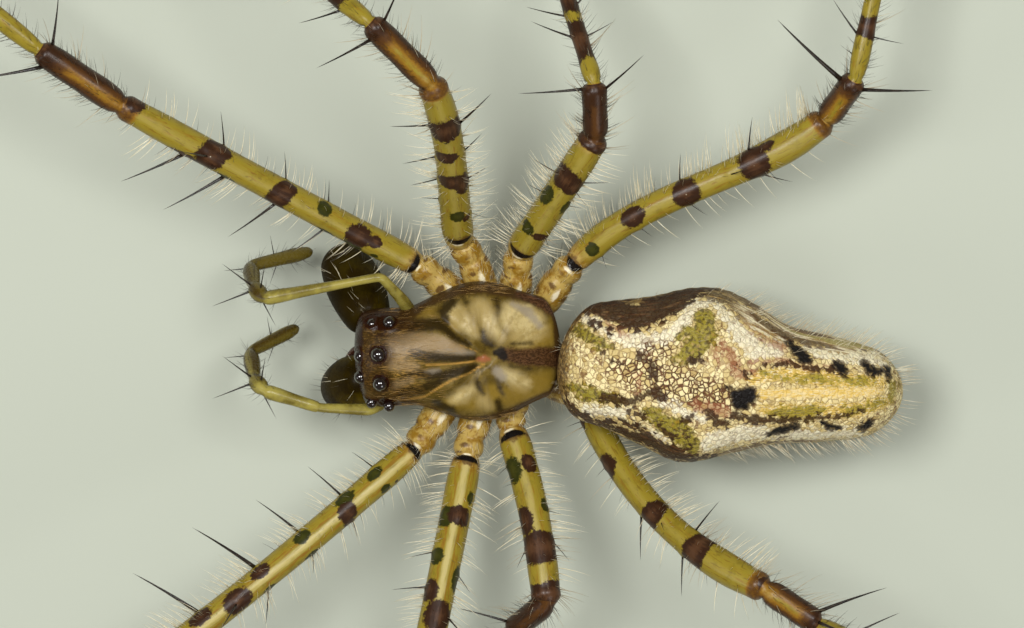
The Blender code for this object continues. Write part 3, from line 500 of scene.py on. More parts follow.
class Finish:
    """A material whose nodes are added by short calls, with the colour that it has so far."""

    def __init__(self, name, base=None):
        self.material = bpy.data.materials.new(name)
        self.material.use_nodes = True
        self.tree = self.material.node_tree
        self.shader = self.tree.nodes["Principled BSDF"]
        self.colour = base

    def node(self, kind, settings=(), output=0, **inputs):
        made = self.tree.nodes.new(kind)
        for key, value in dict(settings).items():
            setattr(made, key, value)
        for key, value in inputs.items():
            feed(self.tree, made.inputs[key.replace("_", " ")], value)
        return Flow(self.tree, made.outputs[output])

    def where(self):
        return self.node("ShaderNodeTexCoord", output="Object")

    def stretched(self, scale):
        made = self.node("ShaderNodeMapping", Vector=self.where())
        made.socket.node.inputs["Scale"].default_value = scale
        return made

    def attribute(self, name, output="Fac"):
        return self.node("ShaderNodeAttribute", {"attribute_name": name}, output)

    def noise(self, scale, detail=3.0, roughness=0.55, vector=None):
        return self.node("ShaderNodeTexNoise", Vector=vector or self.where(), Scale=scale, Detail=detail,
                         Roughness=roughness)

    def step(self, value, low, high, bottom=0.0, top=1.0):
        made = self.node("ShaderNodeMapRange", {"interpolation_type": "SMOOTHSTEP"}, Value=value)
        node = made.socket.node
        for key, item in (("From Min", low), ("From Max", high), ("To Min", bottom), ("To Max", top)):
            node.inputs[key].default_value = item
        return made

    def mix(self, first, second, factor):
        made = self.tree.nodes.new("ShaderNodeMix")
        made.data_type = "RGBA"
        for slot, item in ((0, factor), (6, first), (7, second)):
            feed(self.tree, made.inputs[slot], item)
        return Flow(self.tree, made.outputs[2])

    def paint(self, colour, factor):
        """Lays a colour over what is there."""
        self.colour = self.mix(self.colour, colour, factor)

    def bump(self, height, strength, distance):
        made = self.node("ShaderNodeBump", Height=height)
        made.socket.node.inputs["Strength"].default_value = strength
        made.socket.node.inputs["Distance"].default_value = distance
        feed(self.tree, self.shader.inputs["Normal"], made)

    def set(self, **inputs):
        for key, value in inputs.items():
            feed(self.tree, self.shader.inputs[key.replace("_", " ")], value)

    def flesh(self, weight):
        """Lets a little light through the skin."""
        self.shader.inputs["Subsurface Weight"].default_value = weight
        self.shader.inputs["Subsurface Radius"].default_value = (1.0, 0.7, 0.3)
        self.shader.inputs["Subsurface Scale"].default_value = 0.00008
        return self


# Geometry helpers
def smooth_rows(rows, at):
    """Values at the places between rows (place, value, ...), on smooth curves through the rows."""
    table = np.array(rows, float)
    spots, values = table[:, 0], table[:, 1:]
    slopes = np.gradient(values, spots, axis=0)
    at = np.clip(np.asarray(at, float), spots[0], spots[-1])
    index = np.clip(np.searchsorted(spots, at, side="right") - 1, 0, len(spots) - 2)
    width = (spots[index + 1] - spots[index])[..., None]
    part = (at - spots[index])[..., None] / width
    h00, h10 = 2 * part ** 3 - 3 * part ** 2 + 1, part ** 3 - 2 * part ** 2 + part
    h01, h11 = -2 * part ** 3 + 3 * part ** 2, part ** 3 - part ** 2
    found = (h00 * values[index] + h10 * width * slopes[index]
             + h01 * values[index + 1] + h11 * width * slopes[index + 1])
    return [found[..., column] for column in range(found.shape[-1])]


def round_end(at, front, rear):
    near = np.minimum(np.minimum(at / front, (1 - at) / rear), 1.0)
    return np.sqrt(np.clip(1 - (1 - near) ** 2, 0, None))


def bell(value, centre, width):
    return np.exp(-((value - centre) / width) ** 2)


def eased(count):
    """Shares from 0 to 1 that lie closer together near both ends."""
    return 0.5 * (1 - np.cos(np.linspace(0, math.pi, count)))


def angles(sides):
    return np.arange(sides) * 2 * math.pi / sides


def wrapped(angle):
    """The same angle between minus and plus half a turn."""
    return (angle + math.pi) % (2 * math.pi) - math.pi


def unit(vectors):
    return vectors / np.maximum(np.linalg.norm(vectors, axis=-1, keepdims=True), 1e-12)


def turn_to(heading, pitch):
    heading, pitch = math.radians(heading), math.radians(pitch)
    flat = math.cos(pitch)
    return np.array([math.cos(heading) * flat, math.sin(heading) * flat, math.sin(pitch)])


def plan_of(points):
    """Where points of the animal lie on the plan of its marks."""
    across = points[:, 1] * math.cos(PLAN_LEAN) - (points[:, 2] - FOVEA_HEIGHT) * math.sin(PLAN_LEAN)
    return PLAN_FOVEA[0] + points[:, 0] / PLAN_UNIT, PLAN_FOVEA[1] - across / PLAN_UNIT


def strokes_field(points, strokes):
    """For each point how far it lies inside the nearest stroke, in plan units: below 0 outside."""
    spots = np.stack(plan_of(points), 1)
    field = np.full(len(points), -60.0)
    for stroke in strokes:
        rows = np.array(stroke, float)
        for start, end in zip(rows[:-1], rows[1:]):
            way = end[:2] - start[:2]
            share = np.clip((spots - start[:2]) @ way / max(way @ way, 1e-9), 0, 1)
            away = np.hypot(*(spots - start[:2] - share[:, None] * way).T)
            field = np.maximum(field, start[2] + (end[2] - start[2]) * share - away)
    return field


def add_attribute(mesh, name, values):
    """Stores one value or vector for each vertex."""
    values = np.asarray(values, np.float32)
    kind, member = ("FLOAT_VECTOR", "vector") if values.ndim == 2 else ("FLOAT", "value")
    mesh.attributes.new(name, kind, "POINT").data.foreach_set(member, values.ravel())


def store(mesh, name, grid, ends=(0, 0)):
    """Stores a value or vector for each point of the rings, and one for each of the two end points."""
    if grid.ndim == 3:
        add_attribute(mesh, name, np.vstack([grid.reshape(-1, 3), grid[0, 0], grid[-1, -1]]))
    else:
        add_attribute(mesh, name, np.append(grid.ravel(), ends))


def new_piece(name, mesh, finish):
    """Puts a mesh in the scene as a piece of the animal that rides on its body."""
    piece = bpy.data.objects.new(name, mesh)
    bpy.context.scene.collection.objects.link(piece)
    if finish:
        mesh.materials.clear()
        mesh.materials.append(finish)
    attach(piece, "root")
    return piece


def ring_mesh(name, rings):
    """A closed mesh through rings of points, one end point at each end, with its own unwrap OFBake."""
    count, sides = rings.shape[:2]
    points = np.concatenate([rings.reshape(-1, 3), rings[:1].mean(axis=1), rings[-1:].mean(axis=1)])
    column = np.arange(sides)
    following = (column + 1) % sides
    left, right = column / sides, (column + 1) / sides
    faces, places = [], []
    for row in range(count - 1):
        low, high = row * sides, (row + 1) * sides
        faces.extend(np.stack([low + column, low + following, high + following, high + column], 1).tolist())
        near, far = np.full(sides, (row + 1) / (count + 1)), np.full(sides, (row + 2) / (count + 1))
        places.append(np.stack([left, near, right, near, right, far, left, far], 1).reshape(-1, 2))
    ends = ((0, 0, 0.0, 1 / (count + 1)), (1, (count - 1) * sides, 1.0, count / (count + 1)))
    for end, base, tip, edge in ends:
        for step in range(sides):
            pair = [(base + following[step], right[step]), (base + step, left[step])]
            if end:
                pair.reverse()
            faces.append([count * sides + end, int(pair[0][0]), int(pair[1][0])])
            middle = (left[step] + right[step]) / 2
            places.append(np.array([(middle, tip), (pair[0][1], edge), (pair[1][1], edge)]))
    mesh = bpy.data.meshes.new(name)
    mesh.from_pydata((points * MM + PLACE).tolist(), [], faces)
    unwrap = mesh.uv_layers.new(name="OFBake")
    unwrap.data.foreach_set("uv", np.concatenate(places).astype(np.float32).ravel())
    mesh.shade_smooth()
    mesh.update()
    first, second, above = rings[count // 2, 0], rings[count // 2, 1], rings[count // 2 + 1, 0]
    outward = first - rings[count // 2].mean(axis=0)
    if np.dot(np.cross(second - first, above - first), outward) < 0:
        mesh.flip_normals()
    return mesh, points


def frames_along(line, first_top):
    """Unit vectors along a line, and two across it that turn as little as they can."""
    along = unit(np.gradient(line, axis=0))
    tops = [unit(np.array(first_top) - along[0] * np.dot(first_top, along[0]))]
    for step in range(1, len(line)):
        top = tops[-1] - along[step] * np.dot(tops[-1], along[step])
        tops.append(unit(top))
    tops = np.array(tops)
    return along, tops, np.cross(along, tops)


def softened(values):
    """The same row of values with its inner steps smoothed once."""
    values[1:-1] = 0.25 * values[:-2] + 0.5 * values[1:-1] + 0.25 * values[2:]
    return values


def sampled(points, spacing, soften=2):
    """Points at even steps along a path, with its corners softened, and the way gone at each."""
    points = np.array(points, float)
    gone = np.concatenate([[0], np.cumsum(np.linalg.norm(np.diff(points, axis=0), axis=1))])
    at = np.linspace(0, gone[-1], max(8, int(gone[-1] / spacing)))
    line = np.stack([np.interp(at, gone, points[:, axis]) for axis in range(3)], 1)
    for _ in range(soften):
        line = softened(line)
    return line, at, gone


# Finishes
def leg_finish(colours):
    made = Finish("leg_skin", colours.leg_mottle_and_shade)
    grain = made.noise(24000, 3, 0.6)
    cloud = made.noise(4200, 3, 0.55)
    weave = made.attribute("weave", "Vector")
    fibres = made.noise(17.0, 4, 0.62, vector=weave)
    dashes = made.noise(34.0, 2, 0.5, vector=weave)
    ragged = (made.noise(15000, 4, 0.65) - 0.5) * 0.85
    patches = cloud + (grain - 0.5) * 0.3
    top = made.attribute("top")
    # The tops get the straw and the undersides keep the darker straw as painted shade
    made.paint(colours.leg, made.step(top + (fibres - 0.5) * 0.5, -0.75, 0.55))
    made.paint(colours.leg_mottle_and_shade, made.step(patches, 0.50, 0.72) * 0.45)
    amber = made.step(made.attribute("amber") + (cloud - 0.5) * 0.9, 0.0, 0.8)
    made.paint(made.mix(colours.amber, colours.amber_light, made.step(patches, 0.38, 0.58)), amber * 0.9)
    made.paint(colours.brown_dash, made.step(dashes, 0.60, 0.68) * 0.55)
    made.paint(colours.amber, made.step(fibres, 0.56, 0.66) * 0.45)
    plain = made.attribute("plain")
    lines = made.step(top + (fibres - 0.5) * 0.14, 0.74, 0.88) * made.step(top, 0.97, 0.91)
    made.paint(colours.amber, lines * made.step(dashes, 0.40, 0.56) * plain * 0.75)
    # A painted highlight stripe along the top of the femur
    stripe = made.step(top + (fibres - 0.5) * 0.10, 0.945, 0.995) * plain
    made.paint(colours.leg_highlight, stripe * 0.58)
    # White flecks at the leg roots are painted highlights
    made.paint(colours.pale_dot_and_highlight, made.step(made.attribute("white") + (grain - 0.5) * 0.5, 0.0, 0.5) * 0.9)
    brown = made.attribute("brown") + (grain - 0.5) * 0.7 + (cloud - 0.5) * 2.2
    made.paint(colours.joint_brown, made.step(brown, 0.05, 0.6) * 0.85)
    umber = made.attribute("umber") + (grain - 0.5) * 0.45 + (fibres - 0.5) * 0.35
    burnt = made.mix(colours.amber, colours.joint_brown, made.step(umber, 0.30, 0.75))
    made.paint(burnt, made.step(umber, 0.02, 0.42))
    made.paint(colours.purple, made.step(umber, 0.80, 1.15) * 0.9)
    olive_field = made.attribute("olive") + ragged
    purple_field = made.attribute("purple") + ragged
    light_olive = made.step(olive_field + (grain - 0.5) * 0.6, 0.25, 0.9) * 0.35
    light_purple = made.step(purple_field * 0.6 + fibres, 0.72, 1.15) * 0.75
    made.paint(made.mix(colours.olive, colours.olive_light, light_olive),
               made.step(olive_field, -0.08, 0.14))
    made.paint(made.mix(colours.purple, colours.purple_light, light_purple),
               made.step(purple_field, -0.07, 0.12))
    black = made.step(made.attribute("black") + (grain - 0.5) * 0.4, 0.0, 0.35)
    made.paint(colours.black, black)
    made.paint(colours.pale_dot_and_highlight, made.step(made.attribute("dot"), 0.35, 0.75) * 0.8)
    made.set(Base_Color=made.colour, Roughness=made.step(grain, 0.2, 0.8, 0.26, 0.42) - black * 0.12)
    made.set(Specular_IOR_Level=0.22, Coat_Weight=0.05, Coat_Roughness=0.14)
    made.bump(fibres * 0.7 + made.noise(52000, 2) * 0.3, 0.4, 0.000012)
    return made.flesh(0.08).material


def carapace_finish(colours):
    made = Finish("carapace_shell", colours.shell)
    wide = made.noise(2600, 4, 0.6)
    fine = made.noise(14000, 4, 0.62)
    hairlike = made.noise(1.0, 3, 0.6, vector=made.stretched((7000, 42000, 42000)))
    wobble = (fine - 0.5) * 9.0 + (wide - 0.5) * 5.0

    def field(name, soft, much=1.0, shift=0.0):
        return made.step(made.attribute(name) + wobble * much + shift, -soft, soft)

    made.paint(colours.shell_light, made.step(wide, 0.40, 0.68))
    made.paint(colours.shell_dark, made.step(fine, 0.50, 0.68) * 0.45)
    made.paint(colours.shell_ochre, field("ochre", 5.0) * 0.7)
    made.paint(colours.beige, field("beige", 4.5, 0.8) * 0.85)
    cream = made.mix(colours.cream, colours.cream_dull, made.step(wide + (fine - 0.5) * 0.35, 0.38, 0.62))
    made.paint(cream, field("pale", 6.5, 0.9, -0.5) * 0.88)
    rays = made.noise(1.0, 2, 0.5, vector=made.attribute("rays", "Vector"))
    made.paint(colours.shell, made.step(rays, 0.52, 0.68) * 0.18)
    # The lilac grey patches on the head are painted highlights
    made.paint(colours.grey_highlight, field("grey_highlight", 3.0, 0.5) * 0.75)
    made.paint(colours.shell_dark, field("dark", 3.2, 0.6, 1.0) * 0.96)
    made.paint(colours.rim, made.step(made.attribute("rim") + (fine - 0.5) * 0.35, 0.12, 0.62) * 0.92)
    band = made.mix(colours.purple, colours.purple_light, made.step(hairlike, 0.42, 0.62))
    made.paint(band, field("purple", 3.0, 0.6) * 0.92)
    head = made.step(made.attribute("head"), 0.1, 0.8)
    streak = made.mix(colours.shell_dark, colours.gold, made.step(hairlike, 0.45, 0.62))
    made.paint(streak, head * made.step(hairlike, 0.44, 0.66, 0.42, 0.66))
    made.paint(colours.beige, field("beige", 4.5, 0.8) * made.step(hairlike, 0.40, 0.56, 0.30, 0.85))
    made.paint(colours.fovea, field("red", 2.0, 0.3) * 0.85)
    made.paint(colours.gold, field("gold", 1.0, 0.20, -0.3) * 0.85)
    made.paint(colours.black, field("spot", 2.0, 0.4) * 0.92)
    near_eyes = made.attribute("eyes") + (fine - 0.5) * 0.9
    halo = made.step(near_eyes + (hairlike - 0.5) * 4.0, -3.4, -0.2)
    made.paint(colours.maroon, (halo * 0.72).most(made.step(near_eyes, -0.15, 0.45)))
    eyes = made.step(made.attribute("eyes"), -0.15, 0.45)
    made.set(Base_Color=made.colour, Roughness=made.step(fine, 0.25, 0.75, 0.26, 0.44) - eyes * 0.10)
    made.set(Specular_IOR_Level=0.15, Coat_Weight=0.03, Coat_Roughness=0.14)
    made.bump(fine * 0.6 + made.noise(42000, 3) * 0.4 + hairlike * head * 0.6, 0.35, 0.00002)
    return made.flesh(0.06).material


CELL_WARP = 0.00005  # how far the cells of the abdomen are pushed about, in metres


def abdomen_finish(colours):
    made = Finish("abdomen_skin")
    wide = made.noise(3200, 3, 0.6)
    fine = made.noise(15000, 4, 0.62)
    swirl = made.node("ShaderNodeTexNoise", output=1, Vector=made.where(), Scale=9000.0)
    warp = made.node("ShaderNodeVectorMath", {"operation": "MULTIPLY_ADD"})
    for slot, item in enumerate((swirl, (CELL_WARP,) * 3, made.where())):
        feed(made.tree, warp.socket.node.inputs[slot], item)

    def cell(feature, output):
        return made.node("ShaderNodeTexVoronoi", {"feature": feature}, output, Vector=warp, Scale=11000.0)

    cells = cell("DISTANCE_TO_EDGE", 0)
    tone = made.node("ShaderNodeSeparateColor", Color=cell("F1", "Color"))
    wobble = (fine - 0.5) * 12.0 + (wide - 0.5) * 6.0 + (tone - 0.5) * 7.0
    streaks = made.noise(1.0, 4, 0.62, vector=made.stretched((4200, 40000, 40000)))
    long_cells = made.noise(1.0, 3, 0.6, vector=made.stretched((11000, 32000, 32000)))
    course = made.attribute("course", "Vector")
    bands = made.noise(7.0, 2, 0.5, vector=course) + (fine - 0.5) * 0.12
    threads = made.noise(19.0, 3, 0.6, vector=course)

    def field(name, soft=1.6, much=1.0, shift=0.0):
        return made.step(made.attribute(name) + wobble * much + shift, -soft, soft)

    # Cream cells and the lines between them
    net = field("net", 5.0)
    white = field("white", 2.5)
    made.colour = made.mix(colours.cell_dull, colours.cell, made.step(tone, 0.05, 0.5))
    made.paint(colours.ochre, made.step(tone, 0.86, 0.96) * 0.7)
    made.paint(colours.white, white * made.step(tone + fine, 0.5, 1.0, 0.7, 1.0))
    specks = made.step(made.noise(26000, 2, 0.6), 0.57, 0.68)
    gap = made.mix(colours.abdomen_brown, colours.abdomen_red_brown, made.step(fine, 0.42, 0.60))
    wide_gap = made.step(cells, 0.05, 0.20, 1.0, 0.0) * net * made.step(wide, 0.40, 0.58, 0.35, 0.75)
    made.paint(made.mix(colours.abdomen_tan, gap, net),
               made.step(cells, 0.02, 0.13, 1.0, 0.0) * (0.64 - white * 0.30) + wide_gap)
    made.paint(colours.abdomen_tan, specks * (0.55 - white * 0.25))
    made.paint(colours.abdomen_brown, specks * made.step(wide, 0.50, 0.62) * 0.6)
    blotch = made.step(made.noise(8500, 3, 0.65) + (tone - 0.5) * 0.12, 0.56, 0.63)
    made.paint(colours.abdomen_red_brown, blotch * (0.75 - white * 0.35))

    # Yellow bands, green fields, the line along the middle, and the dark marks
    yellow = made.mix(colours.yellow, colours.white, made.step(long_cells, 0.50, 0.62) * 0.8)
    yellow = made.mix(yellow, colours.ochre, made.step(streaks, 0.51, 0.60) * 0.85)
    lines = made.step(streaks + (tone - 0.5) * 0.2, 0.60, 0.68)
    yellow = made.mix(yellow, colours.abdomen_brown, lines * 0.7)
    yellow = made.mix(yellow, colours.abdomen_olive, made.step(long_cells, 0.46, 0.36) * 0.6)
    made.paint(yellow, field("yellow", 3.0, 0.7) * 0.9)
    made.paint(colours.abdomen_olive, field("green", 3.0, 0.9) * made.step(streaks, 0.36, 0.60, 1.0, 0.55))
    made.paint(colours.abdomen_olive_dark,
               field("green", 2.0, 0.9, -2.0) * made.step(long_cells, 0.50, 0.60) * 0.6)
    median = made.mix(colours.white, colours.yellow, made.step(streaks, 0.42, 0.58, 0.55, 1.0))
    made.paint(median, field("line", 2.0, 0.35) * 0.9)
    made.paint(colours.abdomen_red, field("red", 3.5) * 0.68)
    olive = made.mix(colours.abdomen_olive, colours.abdomen_olive_dark, made.step(fine, 0.44, 0.60))
    olive = made.mix(olive, colours.ochre, made.step(cells, 0.12, 0.3) * made.step(tone, 0.35, 0.8) * 0.5)
    made.paint(olive, field("olive", 2.0) * 0.9)
    brown = made.mix(colours.abdomen_brown, colours.purple, made.step(fine, 0.4, 0.6))
    made.paint(brown, field("brown", 1.6, 0.8) * 0.92)

    # Flanks
    flank = made.mix(colours.abdomen_brown, colours.flank_light, made.step(threads, 0.44, 0.64))
    rear = made.mix(colours.flank_light, colours.white, made.step(threads, 0.40, 0.56) * 0.95)
    rear = made.mix(rear, colours.abdomen_red_brown, made.step(bands, 0.47, 0.53) * 0.85)
    rear = made.mix(rear, colours.abdomen_brown, made.step(bands, 0.53, 0.58) * 0.85)
    rear = made.mix(rear, colours.abdomen_olive, made.step(bands, 0.42, 0.36) * 0.8)
    flank = made.mix(flank, rear, made.step(made.attribute("rear"), 0.2, 0.9) * 0.95)
    flank_dark = made.mix(colours.purple, colours.abdomen_red_brown, made.step(threads, 0.50, 0.64) * 0.45)
    flank_dark = made.mix(flank_dark, colours.flank_light, made.step(threads, 0.64, 0.71) * 0.3)
    side = made.step(made.attribute("flank") + (threads - 0.5) * 1.2, 0.42, 0.72)
    made.paint(flank, (side * 0.9).most(field("striped", 2.5) * 0.85))
    made.paint(flank_dark, field("flank_dark", 2.0) * 0.96)

    # Belly, and the black spots over everything
    shade = made.attribute("belly_tone") + (fine - 0.5) * 0.9 + (wide - 0.5) * 0.7
    belly = made.mix(colours.belly, colours.belly_light, made.step(shade, 0.1, 1.1) * 0.8)
    belly = made.mix(belly, colours.abdomen_brown, made.step(shade, -0.25, -0.85))
    made.paint(belly, made.step(made.attribute("belly"), 0.3, 0.9) * 0.9)
    made.paint(colours.abdomen_brown, field("black", 1.5, 0.55, 2.0) * 0.8)
    made.paint(colours.black, field("black", 2.2, 0.45))
    made.set(Base_Color=made.colour, Roughness=made.step(fine, 0.25, 0.75, 0.40, 0.58))
    made.set(Specular_IOR_Level=0.16, Coat_Weight=0.0)
    made.bump(made.step(cells, 0.0, 0.22) * 0.9 + fine * 0.3 + streaks * side * 0.9, 0.5, 0.000025)
    return made.flesh(0.06).material


def horn_finish(name, light, dark, tip, roughness=0.22, tip_from=0.55, tip_to=0.95, painted_shading=True, gloss=0.28):
    """A glossy translucent shell that darkens along its attribute 'along'; with painted shading it gets
    painted shade underneath and a painted highlight on top, otherwise it is darker on top.
    """
    made = Finish(name, light)
    wide = made.noise(2800, 3)
    fine = made.noise(20000, 3)
    top = made.attribute("top")
    made.paint(dark, made.step(wide + (fine - 0.5) * 0.3, 0.36, 0.66))
    made.paint(tip, made.step(made.attribute("along") + (wide - 0.5) * 0.25, tip_from, tip_to))
    if painted_shading:
        # Painted shade underneath and a painted highlight along the top
        made.paint(dark, made.step(top, 0.50, -0.20) * 0.55)
        made.paint(light, made.step(top, 0.80, 1.0) * 0.4)
    else:
        made.paint(dark, made.step(top + (wide - 0.5), 0.2, 0.9) * 0.85)
    made.set(Base_Color=made.colour, Roughness=made.step(fine, 0.3, 0.7, roughness, roughness + 0.14))
    made.set(Specular_IOR_Level=gloss, Coat_Weight=0.02, Coat_Roughness=0.15)
    made.bump(fine, 0.25, 0.00001)
    return made.flesh(0.08).material


def eye_finish(colours):
    made = Finish("eye_lens")
    rim = made.node("ShaderNodeLayerWeight", output="Facing", Blend=0.35)
    made.set(Base_Color=made.mix(colours.eye, colours.eye_rim, made.step(rim, 0.55, 1.0)))
    made.set(Roughness=0.03, Coat_Weight=1.0, Coat_Roughness=0.02, IOR=1.62)
    return made.material


def plain_finish(name, colour, other, roughness, scale=9000, marks=(), mark_colour=None):
    """Two tones of one colour; hairs also take on the marks of the skin under their roots."""
    made = Finish(name, colour)
    grain = made.noise(scale, 3)
    made.paint(other, made.step(grain, 0.35, 0.7))
    for key, low, high, much in marks:
        made.paint(mark_colour, made.step(made.attribute(key), low, high) * much)
    made.set(Base_Color=made.colour, Roughness=roughness)
    made.set(Coat_Weight=0.1, Coat_Roughness=0.25)
    made.bump(grain, 0.2, 0.00001)
    return made.material


# Settings
def tint(name, value):
    return FloatVectorProperty(name=name, subtype="COLOR", size=3, min=0, max=1, default=value,
                               description=f"Colour of the {name.lower()}")


class SPIDER_colours(bpy.types.PropertyGroup):
    leg: tint("Straw of the legs", (0.285, 0.215, 0.021))
    # The pale stripe on top of the legs is a painted highlight
    leg_highlight: tint("Light stripe on top of the legs", (0.66, 0.56, 0.24))
    # Darker straw: the leg mottling, and painted shade on the leg undersides
    leg_mottle_and_shade: tint("Shade of the legs", (0.145, 0.102, 0.006))
    amber: tint("Amber of the leg roots and joints", (0.26, 0.125, 0.012))
    amber_light: tint("Light amber", (0.47, 0.32, 0.085))
    # Pale dots at the spine roots, and the white painted highlights at the leg roots
    pale_dot_and_highlight: tint("Pale joint skin", (0.82, 0.74, 0.52))
    joint_brown: tint("Brown of the joints", (0.085, 0.034, 0.008))
    brown_dash: tint("Fine brown dashes", (0.12, 0.065, 0.010))
    olive_light: tint("Light olive in the spots", (0.085, 0.080, 0.010))
    purple: tint("Purple brown bands", (0.034, 0.013, 0.005))
    purple_light: tint("Lighter purple in the bands", (0.105, 0.046, 0.019))
    olive: tint("Olive spots", (0.027, 0.028, 0.002))
    black: tint("Black marks", (0.008, 0.006, 0.005))
    shell: tint("Olive gold carapace", (0.104, 0.066, 0.009))
    shell_light: tint("Light olive gold of the carapace", (0.22, 0.15, 0.036))
    shell_dark: tint("Dark stripes of the carapace", (0.024, 0.014, 0.002))
    shell_ochre: tint("Ochre fields of the carapace", (0.26, 0.165, 0.020))
    beige: tint("Beige fields of the head", (0.30, 0.205, 0.095))
    cream: tint("Cream patches", (0.60, 0.475, 0.215))
    cream_dull: tint("Dull cream cells", (0.40, 0.295, 0.105))
    # Lilac grey of the painted highlights on the head
    grey_highlight: tint("Lilac grey bloom", (0.29, 0.245, 0.185))
    gold: tint("Gold lines", (0.46, 0.25, 0.050))
    fovea: tint("Pink fovea", (0.36, 0.125, 0.055))
    rim: tint("Dark rim of the carapace", (0.045, 0.021, 0.006))
    maroon: tint("Maroon field of the eyes", (0.020, 0.005, 0.001))
    white: tint("White cells of the abdomen", (0.90, 0.82, 0.58))
    cell: tint("Cream cells of the abdomen", (0.90, 0.76, 0.40))
    cell_dull: tint("Dull cells of the abdomen", (0.64, 0.49, 0.20))
    yellow: tint("Yellow bands of the abdomen", (0.74, 0.49, 0.10))
    ochre: tint("Ochre cells", (0.34, 0.19, 0.018))
    abdomen_olive: tint("Olive fields of the abdomen", (0.275, 0.222, 0.015))
    abdomen_olive_dark: tint("Dark olive of the abdomen", (0.085, 0.062, 0.006))
    abdomen_brown: tint("Brown lines of the abdomen", (0.060, 0.028, 0.009))
    abdomen_tan: tint("Tan lines of the abdomen", (0.25, 0.145, 0.050))
    abdomen_red_brown: tint("Red brown mottling of the abdomen", (0.145, 0.060, 0.024))
    abdomen_red: tint("Reddish tinge", (0.31, 0.105, 0.045))
    flank_light: tint("Light streaks of the flanks", (0.38, 0.24, 0.075))
    belly: tint("Belly", (0.13, 0.088, 0.032))
    belly_light: tint("Pale stripes of the belly", (0.46, 0.38, 0.19))
    chelicera: tint("Chelicerae", (0.066, 0.043, 0.0008))
    chelicera_dark: tint("Shade of the chelicerae", (0.016, 0.009, 0.0004))
    palp: tint("Palps", (0.34, 0.285, 0.060))
    palp_dark: tint("Shade of the palps", (0.15, 0.115, 0.018))
    palp_tip: tint("Palp tips", (0.058, 0.036, 0.004))
    eye: tint("Eyes", (0.008, 0.003, 0.002))
    eye_rim: tint("Rim of the eyes", (0.022, 0.004, 0.002))
    hair_pale: tint("Pale hairs", (0.92, 0.87, 0.66))
    hair_gold: tint("Gold hairs of the head", (0.47, 0.28, 0.075))
    hair_tan: tint("Hairs that root in dark marks", (0.20, 0.12, 0.05))
    hair_dark: tint("Dark hairs", (0.016, 0.011, 0.006))
    floor: tint("Floor", (0.50, 0.53, 0.44))


class SPIDER_sizes(bpy.types.PropertyGroup):
    leg_step: FloatProperty(name="Leg ring step", default=0.00004, min=0.00002, max=0.0003, precision=6,
                            unit="LENGTH", description="Distance between the rings of a leg")
    leg_sides: IntProperty(name="Leg sides", default=22, min=8, max=48, description="Sides of a leg ring")
    spine_thickness: FloatProperty(name="Spine thickness", default=0.056, min=0.02, max=0.2,
                                   subtype="FACTOR",
                                   description="Thickness of a spine at its root as a share of its length")
    hair_thickness: FloatProperty(name="Hair thickness", default=0.034, min=0.01, max=0.2, subtype="FACTOR",
                                  description="Thickness of a hair at its root as a share of its length")
    body_hair: FloatProperty(name="Body hair", default=75, min=0, max=400,
                             description="Hairs for each square millimetre of abdomen")
    leg_hair: FloatProperty(name="Leg hair", default=85, min=0, max=400,
                            description="Hairs for each square millimetre of leg")
    seed: IntProperty(name="Seed", default=7, description="Seed of every random draw")


# Pieces
LEG_LINES = {}


